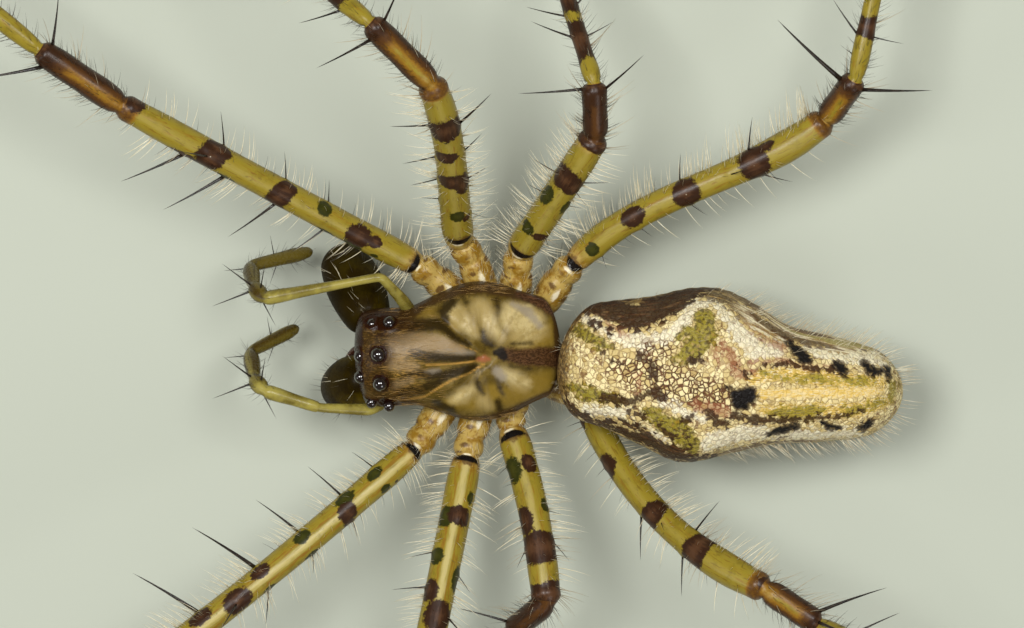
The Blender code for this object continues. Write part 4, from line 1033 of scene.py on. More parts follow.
class Leg:
    """The line of a leg with its radius and the two directions across it."""

    def __init__(self, name, step):
        coxa, trochanter, start, bow, *turns = LEGS[name]
        self.pair = pair = int(name[1])
        lengths = LENGTHS[pair]
        inward = unit(np.array(coxa) - np.array(trochanter))
        joints = [np.array(coxa) + inward * COXA_REACH, np.array(trochanter), np.array(start)]
        for length, turn in zip(lengths[:3], turns[:3]):
            joints.append(joints[-1] + turn_to(*turn) * length)
        heading, tarsus_pitch = turns[3]
        fall = FOOT_Z - joints[-1][2] - lengths[4] * math.sin(math.radians(tarsus_pitch))
        pitch = math.degrees(math.asin(fall / lengths[3]))
        joints.append(joints[-1] + turn_to(heading, pitch) * lengths[3])
        joints.append(joints[-1] + turn_to(heading, tarsus_pitch) * lengths[4] - np.array([0, 0, 0.045]))
        lines, radii, pieces, shares, self.lengths = [], [], [], [], {}
        for index, piece in enumerate(PIECES):
            way = joints[index + 1] - joints[index]
            length = np.linalg.norm(way)
            count = max(4, int(length / step))
            share = (np.arange(count) / count) if piece != "tarsus" else np.linspace(0, 1, count)
            line = joints[index] + way * share[:, None]
            if piece == "femur":
                along = unit(way)
                upward = unit(UP - along * along[2])
                lift, aside, skew = (*bow, 0.0)[:3]
                arch = 4 * share * (1 - share)
                line = line + upward * (lift * arch)[:, None]
                sway = aside * arch * (1 + skew * (1 - 2 * share))
                line = line + np.cross(upward, along) * sway[:, None]
            slim = FEMUR_TAPER[pair] if piece == "femur" else LEG_TAPER[pair] if index > 1 else 1.0
            lines.append(line)
            radii.append(smooth_rows(LEG_RADII[piece], share)[0] * slim)
            pieces += [piece] * count
            shares.append(share)
            self.lengths[piece] = float(length)
        self.line = np.concatenate(lines)
        for _ in range(3):
            self.line = softened(self.line)
        self.radius = softened(np.concatenate(radii))
        self.share = np.concatenate(shares)
        self.piece = np.array(pieces)
        self.arc = np.concatenate([[0], np.cumsum(np.linalg.norm(np.diff(self.line, axis=0), axis=1))])
        for piece, depth, swell in JOINT_FOLDS:
            gone = self.arc - self.arc[self.spot(piece, 0)]
            self.radius = self.radius * (1 - depth * bell(gone, 0, 0.05) + swell * bell(gone, -0.13, 0.07))
        if pair == 4:
            thicker = 1 + 0.18 * bell(self.share, 0.84, 0.17)
            self.radius = self.radius * np.where(self.piece == "femur", thicker, 1.0)
        self.along = unit(np.gradient(self.line, axis=0))
        self.top = unit(UP - self.along * self.along[:, 2:3])
        self.front = np.cross(self.along, self.top) * (-1.0 if name[0] == "r" else 1.0)

    def spot(self, piece, share):
        """Row of the line at a share along a piece."""
        rows = np.where(self.piece == piece)[0]
        return rows[np.argmin(np.abs(self.share[rows] - share))]

    def climb(self, share):
        """Rise over run of the femur at a share along it."""
        row = self.spot("femur", share)
        return self.along[row, 2] / np.hypot(*self.along[row, :2])

    def on_skin(self, piece, share, turn):
        """Femur marks are placed as seen from above, so on a climbing femur they move outwards."""
        if piece != "femur":
            return share
        out = math.cos(math.radians(turn)) * self.radius[self.spot(piece, share)] * self.climb(share)
        return min(1.0, share + out / self.lengths[piece])


def leg_spines(name):
    """Spines of a leg: piece, share, degrees round, length and lean."""
    rows = [("femur", *spine) for spine in FEMUR_SPINES[name]]
    for piece, spines in {**SPINES, **OWN_SPINES.get(name, {})}.items():
        rows += [(piece, *spine) for spine in spines]
    return rows


def around_spot(leg, piece, share, turn, angle):
    """Rows of a piece, and how far its skin lies along the leg and round it from a spot."""
    rows = leg.piece == piece
    along = (leg.share[rows] - leg.on_skin(piece, share, turn)) * leg.lengths[piece]
    around = wrapped(angle - math.radians(turn))[None, :] * leg.radius[rows][:, None]
    return rows, along[:, None], around


def oval(leg, piece, share, turn, half_length, half_width, angle):
    """Rows of a piece and 1 - distance over size from a spot on it, above 0 inside the spot."""
    rows, along, around = around_spot(leg, piece, share, turn, angle)
    return rows, 1 - np.hypot(along / half_length, around / half_width)


def leg_fields(leg, name, angle):
    """The mark fields for each ring and side of a leg."""
    shape = (len(leg.line), len(angle))
    fields = {key: np.full(shape, -4.0) for key in ("purple", "olive", "black", "white", "brown", "dot")}

    def add(key, rows, field):
        fields[key][rows] = np.maximum(fields[key][rows], field)

    for piece, bands in {**BANDS, **PAIR_BANDS.get(leg.pair, {}), **OWN_BANDS.get(name, {})}.items():
        for share, half_length in bands:
            rows = leg.piece == piece
            along = (leg.share[rows] - leg.on_skin(piece, share, 0)) * leg.lengths[piece]
            near = np.abs(along / half_length)
            add("purple", rows, (1 - near)[:, None] + 0.12 * np.cos(2 * angle + share * 9)[None, :])
    for key, marks in FEMUR_MARKS[name].items():
        for share, turn, half_length, half_width in marks:
            add(key, *oval(leg, "femur", share, turn, half_length, half_width, angle))
            if key == "purple" and abs(turn) <= 20 and share > 0.2:
                add("dot", *oval(leg, "femur", share, turn * 0.5 - 4, DOT, DOT, angle))

    # The dark crescent across the root of the femur, with brown round it; the white fleck before it and the
    # white oval on the coxa are painted highlights
    everywhere = np.ones(len(leg.arc), bool)
    around = angle[None, :] * CRESCENT_RADIUS
    gone = (leg.arc - leg.arc[leg.spot("femur", 0)] - 0.03 - CRESCENT_SHIFT.get(name, 0.0)
            - leg.radius[leg.spot("femur", 0.04)] * leg.climb(0.05))[:, None]
    add("black", everywhere, 1 - np.hypot((gone - around ** 2 * 0.6) / 0.085, around / 0.29))
    add("brown", everywhere, 0.75 - np.hypot((gone - 0.04) / 0.17, around / 0.40))
    add("white", everywhere, 1 - np.hypot((gone + 0.09) / 0.045, (around - 0.02) / 0.12))
    add("white", *oval(leg, "coxa", 0.66, -12, 0.19, 0.07, angle))
    for piece, *spot in ROOT_SPOTS:
        rows, field = oval(leg, piece, *spot, angle)
        add("brown", rows, field - 0.12)
    rows = leg.piece == "femur"
    near = np.abs((leg.share[rows] - 0.985) * leg.lengths["femur"] / 0.09)
    add("brown", rows, (1 - near)[:, None] + 0.2 * np.cos(angle * 2)[None, :] - 0.1)

    # Amber at the roots and joints, umber along the sides of the patella, and how clear the painted
    # highlight stripe on the femur is
    amber = np.where(np.isin(leg.piece, ("coxa", "trochanter")), 0.75, -0.3)
    for piece, share, half in (("femur", 0.0, 0.45), ("femur", 1.0, 0.30), ("patella", 0.0, 0.3)):
        near = 1 - np.abs((leg.share - share) * leg.lengths[piece] / half)
        amber = np.where(leg.piece == piece, np.maximum(amber, near), amber)
    share = leg.share[:, None]
    # The umber is the patella's own dark colour; the lighter top it leaves along the middle is a painted
    # highlight
    sides = np.clip(np.abs(angle) / math.radians(58), 0, 1.25)[None, :] ** 1.2
    umber = np.maximum(sides * (0.62 + 0.40 * np.clip(share * 4, 0, 1)), (share - 0.60) / 0.26)
    umber = np.where((leg.piece == "patella")[:, None], umber + UMBER.get(leg.pair, 0.12), -1.0)
    umber = np.where((leg.piece == "femur")[:, None], np.clip((share - 0.945) / 0.03, -1, 0.62), umber)
    plain = (leg.piece == "femur") * HIGHLIGHT_STRIPE.get(name, 0.2)
    for key, field in (("amber", amber[:, None]), ("umber", umber), ("plain", plain[:, None])):
        fields[key] = np.broadcast_to(field, shape)
    return fields


def leg_bulge(leg, name, angle):
    """How much each point of the skin stands out: there is a low swelling where each spine roots."""
    swell = np.ones((len(leg.line), len(angle)))
    for piece, share, turn, _, _ in leg_spines(name):
        rows, along, around = around_spot(leg, piece, share, turn, angle)
        swell[rows] += 0.07 * np.exp(-(along / 0.07) ** 2 - (around / 0.07) ** 2)
    return swell


def build_leg(name, finish, sizes):
    leg = Leg(name, sizes.leg_step / MM)
    angle = angles(sizes.leg_sides)
    turned = wrapped(angle)
    across, aside = np.cos(angle), np.sin(angle)
    out = leg.top[:, None] * across[None, :, None] + leg.front[:, None] * aside[None, :, None]
    reach = leg.radius[:, None] * leg_bulge(leg, name, turned)
    rings = leg.line[:, None] + out * reach[..., None]
    rings[..., 2] = np.maximum(rings[..., 2], 0.002)
    mesh, _ = ring_mesh("skin_leg_" + name, rings)
    for key, field in leg_fields(leg, name, turned).items():
        store(mesh, key, field, (field[0, 0], field[-1, 0]))
    top = np.broadcast_to(across[None, :], reach.shape)
    store(mesh, "top", top)
    store(mesh, "weave", np.stack([np.broadcast_to(leg.arc[:, None] * 0.14, top.shape),
                                   across * leg.radius[:, None], aside * leg.radius[:, None]], -1))
    store(mesh, "lie", np.repeat(leg.along[:, None], sizes.leg_sides, axis=1))
    for key, field in leg_coat(leg, name, angle).items():
        store(mesh, key, field)
    piece = new_piece("skin_leg_" + name, mesh, finish)
    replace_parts(piece, *[f"leg_{name}_{part}" for part in ("coxa", "femur", "patella", "tibia", "tarsus")])
    LEG_LINES[name] = leg


def leg_coat(leg, name, angle):
    """Density, length and stand of the pale and the dark hairs over a leg."""
    flank, above = np.abs(np.sin(angle))[None, :], np.cos(angle)[None, :]
    share = leg.share[:, None]
    where = {piece: (leg.piece == piece)[:, None] for piece in PIECES}
    root = where["coxa"] | where["trochanter"]
    tufts = 0.35 + 0.65 * np.clip(np.sin(share * 31 + leg.pair) + 0.5 * np.sin(share * 67), 0, 1)
    ahead, behind = COAT_SIDES.get(name, (1.0, 0.6))
    toward = np.where(np.sin(angle) > 0, ahead, behind)[None, :]
    pale = np.where(where["femur"], (0.12 + 1.75 * flank ** 2) * tufts * toward, 0.0)
    pale = np.where(root, 0.35 + flank * np.clip(share * 2 - 0.6, 0, 1) * 1.3, pale)
    pale = np.where(where["patella"], 0.25 * flank, pale)
    pale = np.where(where["tibia"] & (share > 0.2), 0.12, pale)
    long_hair = np.where(root, 0.20, 0.20 + 0.29 * flank ** 2 + 0.06 * np.sin(share * 23))
    dark = np.where(where["patella"] | where["tibia"], 0.75, 0.035)
    dark = np.where(where["metatarsus"] | where["tarsus"], 1.0, dark)
    dark_length = np.where(where["tarsus"], 0.12, 0.21 + 0.05 * flank)
    fields = {"pale_coat": pale, "dark_coat": dark, "pale_length": long_hair, "dark_length": dark_length,
              "stand": np.where(where["femur"], 2.2 - 0.9 * above, 0.95 - 0.5 * above)}
    return {key: np.broadcast_to(field, (len(share), len(angle))) for key, field in fields.items()}


def ring_grid(rings, sides):
    """Share along a body form and angle round it, for each point of its rings."""
    return np.meshgrid(eased(rings + 2)[1:-1], angles(sides), indexing="ij")


def body_axes(front, rear):
    """Length of a body form, and its directions to the rear and to the animal's right."""
    along = unit(rear - front)
    right = unit(np.cross(UP, along))
    return np.linalg.norm(rear - front), along, right if right[1] > 0 else -right


def carapace_rings(rings, sides):
    at, turn = ring_grid(rings, sides)
    length, along, right = body_axes(CARAPACE_FRONT, CARAPACE_REAR)
    closing = round_end(at, 0.06, 0.08)
    half = smooth_rows(CARAPACE_WIDTHS, at)[0] * closing
    height = smooth_rows(CARAPACE_HEIGHTS, at)[0] * closing ** 0.6
    side, over = np.cos(turn), np.sin(turn)
    above = over > 0
    lift = np.where(above, height * np.abs(over) ** 0.85, 0.10 * over)
    neck = 0.085 * bell(at, 0.34 + 0.29 * (1 - np.abs(side)), 0.035) * np.minimum(1, 2.4 * np.abs(over))
    pit = 0.11 * bell(at, 0.62, 0.035) * bell(side, 0, 0.09)
    rays = np.zeros_like(at)
    for place, lean in ((0.52, 0.06), (0.66, -0.04), (0.80, -0.12)):
        rays += 0.035 * bell(at, place + lean * (1 - np.abs(side)), 0.025) * bell(np.abs(side), 0.55, 0.28)
    rim = 0.035 * bell(np.abs(side), 0.985, 0.02)
    lift = np.where(above, lift - neck - pit - rays + rim, lift)
    points = (CARAPACE_FRONT + along * (length * at)[..., None] + right * (half * side)[..., None]
              + UP * lift[..., None])
    for centre, radius in EYES.values():
        away = points - np.array(centre)
        near = np.linalg.norm(away, axis=-1)
        mound = 0.06 * np.exp(-(np.maximum(near - radius, 0) / 0.07) ** 2) * above
        points = points + unit(away * [0.6, 0.6, 1.0]) * mound[..., None] * (near > radius * 0.9)[..., None]
    return points, at, turn, along


def build_carapace(finish):
    points, at, turn, along = carapace_rings(150, 180)
    mesh, flat = ring_mesh("skin_carapace", points)
    for key, marks in CARAPACE_MARKS.items():
        add_attribute(mesh, key, strokes_field(flat, marks))
    side, over = np.abs(np.cos(turn)), np.sin(turn)
    rear_edge = np.clip((at - 0.45) * 4, 0, 1)
    head_edge = np.clip((0.36 - at) * 6, 0, 1)
    rim = bell(side, 1.0, 0.09 + 0.05 * rear_edge + 0.17 * head_edge) + bell(at, 1.0, 0.03)
    store(mesh, "rim", np.where(over > -0.2, rim, 1.0), (1, 1))
    x, y = plan_of(flat)
    fields = [np.full(len(flat), -4.0), np.clip((365 - x) / 8, -4, 1.5)]
    for centre, radius in EYES.values():
        fields.append(1 - (np.linalg.norm(flat - np.array(centre), axis=1) - radius) / 0.055)
    for middle, half_length, half_width in ((322, 19, 11), (407, 18, 9)):
        patch = 1 - np.hypot((x - 378) / half_length, (y - middle) / half_width)
        fields.append(np.clip(patch, -4, 1.5) * 1.6)
    eyes = np.max(fields, axis=0)
    add_attribute(mesh, "eyes", eyes)
    add_attribute(mesh, "head", np.clip((440 - x) / 40, 0, 1) * np.clip(flat[:, 2] - 2.0, 0, 1))
    turn_out = np.arctan2(flat[:, 1], flat[:, 0])
    reach = np.hypot(flat[:, 0], flat[:, 1])
    add_attribute(mesh, "rays", np.stack([np.cos(turn_out) * 7, np.sin(turn_out) * 7, reach * 0.8], 1))
    lie = np.repeat(along[None], at.size + 2, axis=0)
    lie[:-2, 1] += (-np.cos(turn) * 0.35).ravel()
    add_attribute(mesh, "lie", unit(lie))
    head = np.clip(1 - np.abs(at - 0.16) / 0.34, 0, 1) * (over > 0.05)
    fringe = bell(side, 0.96, 0.06) * (over > -0.15) * (at > 0.25) * (at < 0.75)
    bald = 1 - np.clip(eyes[:-2].reshape(at.shape) * 2 + 0.4, 0, 0.92)
    store(mesh, "pale_coat", head * bald + 2.2 * fringe)
    store(mesh, "pale_length", 0.17 + 0.06 * head + 0.03 * fringe)
    store(mesh, "stand", np.full(at.shape, 0.16))
    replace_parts(new_piece("skin_carapace", mesh, finish), "carapace")


def abdomen_rings(rings, sides):
    at, turn = ring_grid(rings, sides)
    length, along, right = body_axes(ABDOMEN_FRONT, ABDOMEN_REAR)
    right_half, left_half, height, depth = smooth_rows(ABDOMEN_SECTIONS, at)
    closing = round_end(at, 0.10, 0.10)
    side, over = np.cos(turn), np.sin(turn)
    half = left_half + (right_half - left_half) * (0.5 + 0.5 * np.tanh(side / 0.25))
    rise = np.where(over > 0, height, depth)
    hump = 1 + 0.09 * bell(at, 0.40, 0.09) * bell(np.abs(side), 0.72, 0.25) * np.clip(over * 3, 0, 1)
    folds = 0.004 * np.sin(at * 150 + 3 * np.sin(turn * 3)) * np.clip(1 - np.abs(over) * 1.4, 0, 1)
    dimples = np.zeros_like(at)
    for place in (0.26, 0.42, 0.55):
        for across in (0.22, -0.22):
            dimples += 0.028 * bell(at, place, 0.016) * bell(side, across, 0.06) * (over > 0)
    size = closing * hump * (1 + folds * (at > 0.1) * (at < 0.93) - dimples)
    points = (ABDOMEN_FRONT + along * (length * at)[..., None]
              + (right * (half * side)[..., None] + UP * (rise * over)[..., None]) * size[..., None])
    return points, at, turn, along


def build_abdomen(finish):
    points, at, turn, along = abdomen_rings(190, 200)
    mesh, flat = ring_mesh("skin_abdomen", points)
    over, side = np.sin(turn), np.cos(turn)
    below = np.append(np.clip(-over.ravel() / 0.3, 0, 1), [0, 0]) * 50
    for key, marks in ABDOMEN_MARKS.items():
        add_attribute(mesh, key, strokes_field(flat, marks) - below)
    middle = bell(side, 0, 0.20) + 0.35 * bell(side, 0, 0.42)
    stripes = bell(np.abs(side), 0.50, 0.17) * np.clip((at - 0.20) / 0.12, 0, 1)
    stripes = stripes * np.clip((0.93 - at) / 0.2, 0, 1)
    lungs = bell(at, 0.13, 0.05) * bell(np.abs(side), 0.42, 0.20) + 0.8 * bell(at, 0.205, 0.012)
    store(mesh, "belly_tone", np.where(over < 0, stripes * 1.2 - middle * (at > 0.2) - lungs * 1.1, 0.0))
    store(mesh, "flank", np.clip((0.50 - over) / 0.45, 0, 1.2) + bell(at, 0.0, 0.035), (1, 1))
    store(mesh, "belly", np.clip((-0.25 - over) / 0.4, 0, 1))
    store(mesh, "rear", np.clip((at - 0.42) / 0.14, 0, 1), (0, 1))
    lie = np.repeat(along[None], at.size + 2, axis=0)
    lie[:-2, 2] -= 0.10
    add_attribute(mesh, "lie", unit(lie))
    narrowing = round_end(at, 0.22, 0.18)
    store(mesh, "course", np.stack([at * 0.75, side * narrowing, over * narrowing], -1))
    rear = np.clip((at - 0.35) / 0.3, 0, 1)
    above = np.maximum(over, 0)
    dark_mark = strokes_field(flat, ABDOMEN_MARKS["flank_dark"])[:-2].reshape(at.shape)
    thick = (0.35 + 0.65 * rear) * np.clip(1.05 - above * 1.6, 0.06, 1) * (over > -0.75)
    store(mesh, "pale_coat", thick * (1 - 0.9 * np.clip(dark_mark / 4 + 0.5, 0, 1)))
    store(mesh, "pale_length", 0.16 + 0.24 * rear * np.clip(1.15 - above, 0.1, 1))
    store(mesh, "stand", 0.85 - 0.45 * above)
    piece = new_piece("skin_abdomen", mesh, finish)
    line, _, _ = sampled(PEDICEL, 0.04, 6)
    stalk = plain_finish("pedicel_skin", (0.12, 0.07, 0.03), (0.2, 0.13, 0.05), 0.4)
    build_tube("skin_pedicel", line, np.full(len(line), 0.17), UP, stalk)
    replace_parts(piece, "abdomen")


def build_tube(name, line, radii, first_top, finish, sides=24, coat=None):
    """A skin of round section along a line, closed at both ends, with its place along and its top stored."""
    along, tops, fronts = frames_along(line, first_top)
    angle = angles(sides)
    out = tops[:, None, :] * np.cos(angle)[None, :, None] + fronts[:, None, :] * np.sin(angle)[None, :, None]
    mesh, _ = ring_mesh(name, line[:, None, :] + out * np.asarray(radii)[:, None, None])
    shape = (len(line), sides)
    store(mesh, "along", np.repeat(np.linspace(0, 1, len(line))[:, None], sides, axis=1), (0, 1))
    store(mesh, "top", np.broadcast_to(np.cos(angle)[None], shape))
    store(mesh, "lie", np.repeat(along[:, None], sides, axis=1))
    for key, values in (coat or {}).items():
        store(mesh, key, np.broadcast_to(np.atleast_1d(values)[:, None], shape))
    return new_piece(name, mesh, finish)


def rounded_radii(share, rows, front, rear):
    return smooth_rows(rows, share)[0] * np.maximum(round_end(share, front, rear), 0.02)


def build_chelicera(side, finish, fang_finish):
    start, end = (np.array(place) for place in CHELICERAE[side])
    share = eased(60)
    line = start + (end - start) * share[:, None]
    outward = 1 if side == "r" else -1
    line[:, 1] += outward * 0.06 * np.sin(share * math.pi)
    coat = {"pale_coat": 0.35, "dark_coat": 0.6, "pale_length": 0.26, "dark_length": 0.22, "stand": 0.8}
    piece = build_tube("skin_chelicera_" + side, line, rounded_radii(share, CHELICERA_RADII, 0.14, 0.16),
                       (-1, 0, 0.3), finish, 48, coat)
    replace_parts(piece, "chelicera_" + side)
    along = unit(end - start)
    inner = unit(np.array([0.15, -outward, 0]))
    steps = np.linspace(0, 1, 26)
    bulge = 0.50 * np.sin(math.pi * (0.12 + 0.80 * steps)) + 0.08
    tip = end - along * 0.16
    fang = tip + inner * bulge[:, None] - (along * 1.25 + np.array([0.10, 0, 0])) * steps[:, None]
    radii = 0.085 * (1 - np.append(0, steps) ** 1.3 * 0.93)
    build_tube("fang_" + side, np.vstack([tip, fang]), radii, (1, 0, 0), fang_finish, 18)


def palp_line(side):
    return sampled(PALPS[side], 0.025, 14)


def build_palp(side, finish):
    line, at, gone = palp_line(side)
    rows = [(0, 0.15), (gone[1] * 0.7, 0.13)]
    rows += [(gone[joint] + more, radius) for joint, radii in PALP_RADII.items() for more, radius in radii]
    share = at / gone[-1]
    past = np.clip((share - gone[3] / gone[-1] * 0.9) * 20, 0, 1)
    coat = {"pale_coat": 0.3 * (1 - past) + 0.05, "dark_coat": past, "pale_length": 0.16,
            "dark_length": 0.22, "stand": 0.7}
    radii = smooth_rows(rows, at)[0] * PALP_THICKNESS
    piece = build_tube("skin_palp_" + side, line, radii, UP, finish, 26, coat)
    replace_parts(piece, f"palp_{side}_femur", f"palp_{side}_tarsus")


def build_eyes(finish, rings=24, sides=32):
    theta, angle = np.linspace(0, math.pi, rings + 2)[1:-1, None], angles(sides)
    ball = np.stack([np.sin(theta) * np.cos(angle), np.sin(theta) * np.sin(angle),
                     np.repeat(np.cos(theta), sides, 1)], -1)
    for name, (centre, radius) in EYES.items():
        mesh, _ = ring_mesh("lens_" + name, ball * radius + np.array(centre))
        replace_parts(new_piece("lens_" + name, mesh, finish), "eye_" + name)


def build_underside(finish):
    """Sternum, lip and the plates beside it."""
    at, turn = ring_grid(44, 60)
    closing = round_end(at, 0.35, 0.65)
    edge = 1 + 0.05 * np.cos(at * 22) * np.abs(np.cos(turn)) ** 6
    mesh, _ = ring_mesh("skin_sternum", np.stack([0.28 + 1.75 * (at - 0.5),
                                                  -0.02 + 0.65 * closing * np.cos(turn) * edge,
                                                  1.28 + 0.15 * closing ** 0.5 * np.sin(turn)], -1))
    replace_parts(new_piece("skin_sternum", mesh, finish), "sternum")
    part = np.linspace(0, 1, 30)
    plates = (("lip", (-0.62, -0.03, 1.34), (-1.10, -0.06, 1.36), (0.27, 0.27, 0.20)),
              ("plate_r", (-0.80, 0.30, 1.36), (-1.72, 0.42, 1.38), (0.20, 0.20, 0.23)),
              ("plate_l", (-0.80, -0.36, 1.36), (-1.72, -0.56, 1.38), (0.20, 0.20, 0.23)))
    for name, start, end, radii in plates:
        line = np.array(start) + (np.array(end) - np.array(start)) * part[:, None]
        radii = rounded_radii(part, tuple(zip((0, 0.5, 1), radii)), 0.2, 0.25)
        made = build_tube("skin_" + name, line, radii, UP, finish)
        if name == "lip":
            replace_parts(made, "mouthparts")


SPINNERETS_AT = np.array([6.86, -0.75, 1.40])
# Spinnerets: way to the side, way back and size
SPINNERETS = ((0.13, 0, 1), (-0.13, 0, 1), (0.12, 0.16, 0.85), (-0.12, 0.16, 0.85), (0, 0.09, 0.7))


def build_spinnerets(finish):
    way = ABDOMEN_REAR - ABDOMEN_FRONT
    heading = math.degrees(math.atan2(way[1], way[0]))
    away, across = turn_to(heading, -50), turn_to(heading + 90, 0)
    part = np.linspace(0, 1, 20)
    for index, (side, back, size) in enumerate(SPINNERETS):
        start = SPINNERETS_AT + across * side + np.array([back, 0, 0]) - away * 0.15
        line = start + away * (0.15 + 0.40 * size) * part[:, None]
        radii = 0.14 * size * (1 - 0.45 * part) * round_end(part, 0.1, 0.12).clip(0.05)
        made = build_tube(f"spinneret_{index + 1}", line, radii, UP, finish, 16)
        if index == 0:
            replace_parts(made, "spinnerets")


# Bristles by Geometry Nodes
def taper_mesh(name, sides, rings, bend, thickness, tip=0.12):
    """A bristle one unit long along Z that bends towards +X and tapers, closed at both ends."""
    points, faces = [], []
    for step in np.linspace(0, 1, rings + 1)[:-1]:
        radius = thickness * 0.5 * (1 - step * (1 - tip))
        for turn in angles(sides):
            points.append((bend * step ** 2 + radius * math.cos(turn), radius * math.sin(turn), step))
    points.append((bend, 0, 1.0))
    for row in range(rings - 1):
        for side in range(sides):
            a, b = row * sides + side, row * sides + (side + 1) % sides
            faces.append((a, b, b + sides, a + sides))
    last = (rings - 1) * sides
    for side in range(sides):
        faces.append((last + side, last + (side + 1) % sides, len(points) - 1))
    faces.append(tuple(reversed(range(sides))))
    mesh = bpy.data.meshes.new(name)
    mesh.from_pydata(points, [], faces)
    mesh.shade_smooth()
    patch = np.array(points)[:, [0, 2]]
    patch[:, 0] = patch[:, 0] / max(bend + thickness, 0.01)
    add_attribute(mesh, "patch", np.column_stack([patch, np.zeros(len(points))]))
    guide = bpy.data.objects.new(name, mesh)
    bpy.context.scene.collection.objects.link(guide)
    return guide


class Tree:
    """A Geometry Nodes tree written by short calls."""

    def __init__(self, name):
        self.tree = bpy.data.node_groups.new(name, "GeometryNodeTree")
        self.tree.is_modifier = True
        self.inputs = {}
        self.socket("Geometry", "NodeSocketGeometry")
        self.socket("Geometry", "NodeSocketGeometry", way="OUTPUT")
        self.start = self.tree.nodes.new("NodeGroupInput")
        self.end = self.tree.nodes.new("NodeGroupOutput")

    def socket(self, name, kind, default=None, way="INPUT"):
        made = self.tree.interface.new_socket(name=name, in_out=way, socket_type=kind)
        if default is not None:
            made.default_value = default
        self.inputs[name] = made.identifier

    def value(self, name):
        return self.start.outputs[name]

    def put(self, item, socket):
        if isinstance(item, bpy.types.NodeSocket):
            self.tree.links.new(item, socket)
        else:
            socket.default_value = item

    def node(self, kind, settings=(), **inputs):
        made = self.tree.nodes.new(kind)
        for key, value in dict(settings).items():
            setattr(made, key, value)
        for key, value in inputs.items():
            self.put(value, [slot for slot in made.inputs if slot.name == key and slot.enabled][0])
        return made

    def attribute(self, name, kind="FLOAT"):
        return self.node("GeometryNodeInputNamedAttribute", {"data_type": kind}, Name=name).outputs[0]

    def combine(self, kind, operation, slots):
        """A math node with each item put in the numbered input that it belongs in."""
        made = self.node(kind, {"operation": operation})
        for number, item in slots.items():
            self.put(item, made.inputs[number])
        return made.outputs[0]

    def product(self, first, second):
        return self.combine("ShaderNodeMath", "MULTIPLY", {0: first, 1: second})

    def scaled(self, vector, size):
        return self.combine("ShaderNodeVectorMath", "SCALE", {0: vector, 3: size})

    def total(self, first, second):
        return self.combine("ShaderNodeVectorMath", "ADD", {0: first, 1: second})

    def random(self, low, high, seed, kind="FLOAT"):
        made = self.node("FunctionNodeRandomValue", {"data_type": kind})
        slots = [slot for slot in made.inputs if slot.enabled]
        slots[0].default_value, slots[1].default_value = low, high
        self.tree.links.new(seed, [slot for slot in slots if slot.name == "Seed"][0])
        return [slot for slot in made.outputs if slot.enabled][0]


def placed_bristles(tree, points, aim, lie, size):
    """Turns one bristle along aim on each point, with its bend towards lie, and realizes them."""
    first = tree.node("FunctionNodeAlignRotationToVector", {"axis": "Z"}, Vector=aim)
    turned = tree.node("FunctionNodeAlignRotationToVector", {"axis": "X", "pivot_axis": "Z"},
                       Rotation=first.outputs[0], Vector=lie)
    template = tree.node("GeometryNodeObjectInfo", Object=tree.value("Bristle"))
    placed = tree.node("GeometryNodeInstanceOnPoints", Points=points, Instance=template.outputs["Geometry"],
                       Rotation=turned.outputs[0], Scale=size)
    real = tree.node("GeometryNodeRealizeInstances", Geometry=placed.outputs[0])
    painted = tree.node("GeometryNodeSetMaterial", Geometry=real.outputs[0], Material=tree.value("Finish"))
    tree.tree.links.new(painted.outputs[0], tree.end.inputs[0])


def hair_tree():
    """Hairs over a skin: how many, how long and how far they stand out comes from its attributes."""
    tree = Tree("hair_over_skin")
    for name, kind, default in (("Bristle", "Object", None), ("Finish", "Material", None),
                                ("Density", "Float", 5.0e7), ("Seed", "Int", 1),
                                ("Where", "String", "pale_coat"), ("Length", "String", "pale_length"),
                                ("Mess", "Float", 0.22)):
        tree.socket(name, "NodeSocket" + kind, default)
    seed = tree.value("Seed")
    spread = tree.node("GeometryNodeDistributePointsOnFaces", {"distribute_method": "RANDOM"},
                       Mesh=tree.value("Geometry"), Seed=seed,
                       Density=tree.product(tree.attribute(tree.value("Where")), tree.value("Density")))
    root = tree.node("GeometryNodeStoreNamedAttribute", {"data_type": "FLOAT_VECTOR", "domain": "POINT"},
                     Geometry=spread.outputs["Points"], Name="root_place",
                     Value=tree.attribute("OFBake", "FLOAT_VECTOR"))
    lie = tree.attribute("lie", "FLOAT_VECTOR")
    mess = tree.scaled(tree.random((-1, -1, -1), (1, 1, 1), seed, "FLOAT_VECTOR"), tree.value("Mess"))
    out = tree.scaled(spread.outputs["Normal"], tree.attribute("stand"))
    aim = tree.total(tree.total(out, tree.scaled(lie, 0.55)), mess)
    aim = tree.combine("ShaderNodeVectorMath", "NORMALIZE", {0: aim})
    length = tree.product(tree.attribute(tree.value("Length")), MM)
    placed_bristles(tree, root.outputs[0], aim, lie, tree.product(length, tree.random(0.65, 1.3, seed)))
    return tree


def spine_tree():
    """One spine on each vertex, along its stored aim and as long as its stored size."""
    tree = Tree("spines_on_points")
    tree.socket("Bristle", "NodeSocketObject")
    tree.socket("Finish", "NodeSocketMaterial")
    cloud = tree.node("GeometryNodeMeshToPoints", Mesh=tree.value("Geometry"))
    placed_bristles(tree, cloud.outputs[0], tree.attribute("aim", "FLOAT_VECTOR"),
                    tree.attribute("lie", "FLOAT_VECTOR"), tree.attribute("size"))
    return tree


def grown(source, tree, settings, name):
    """The result of a tree on an object as a plain mesh piece."""
    step = source.modifiers.new("Grow", "NODES")
    step.node_group = tree.tree
    for key, value in settings.items():
        step[tree.inputs[key]] = value
    bpy.context.view_layer.update()
    solid = source.evaluated_get(bpy.context.evaluated_depsgraph_get())
    mesh = bpy.data.meshes.new_from_object(solid)
    mesh.name = name
    source.modifiers.remove(step)
    unwrap_by_root(mesh)
    return new_piece(name, mesh, None)


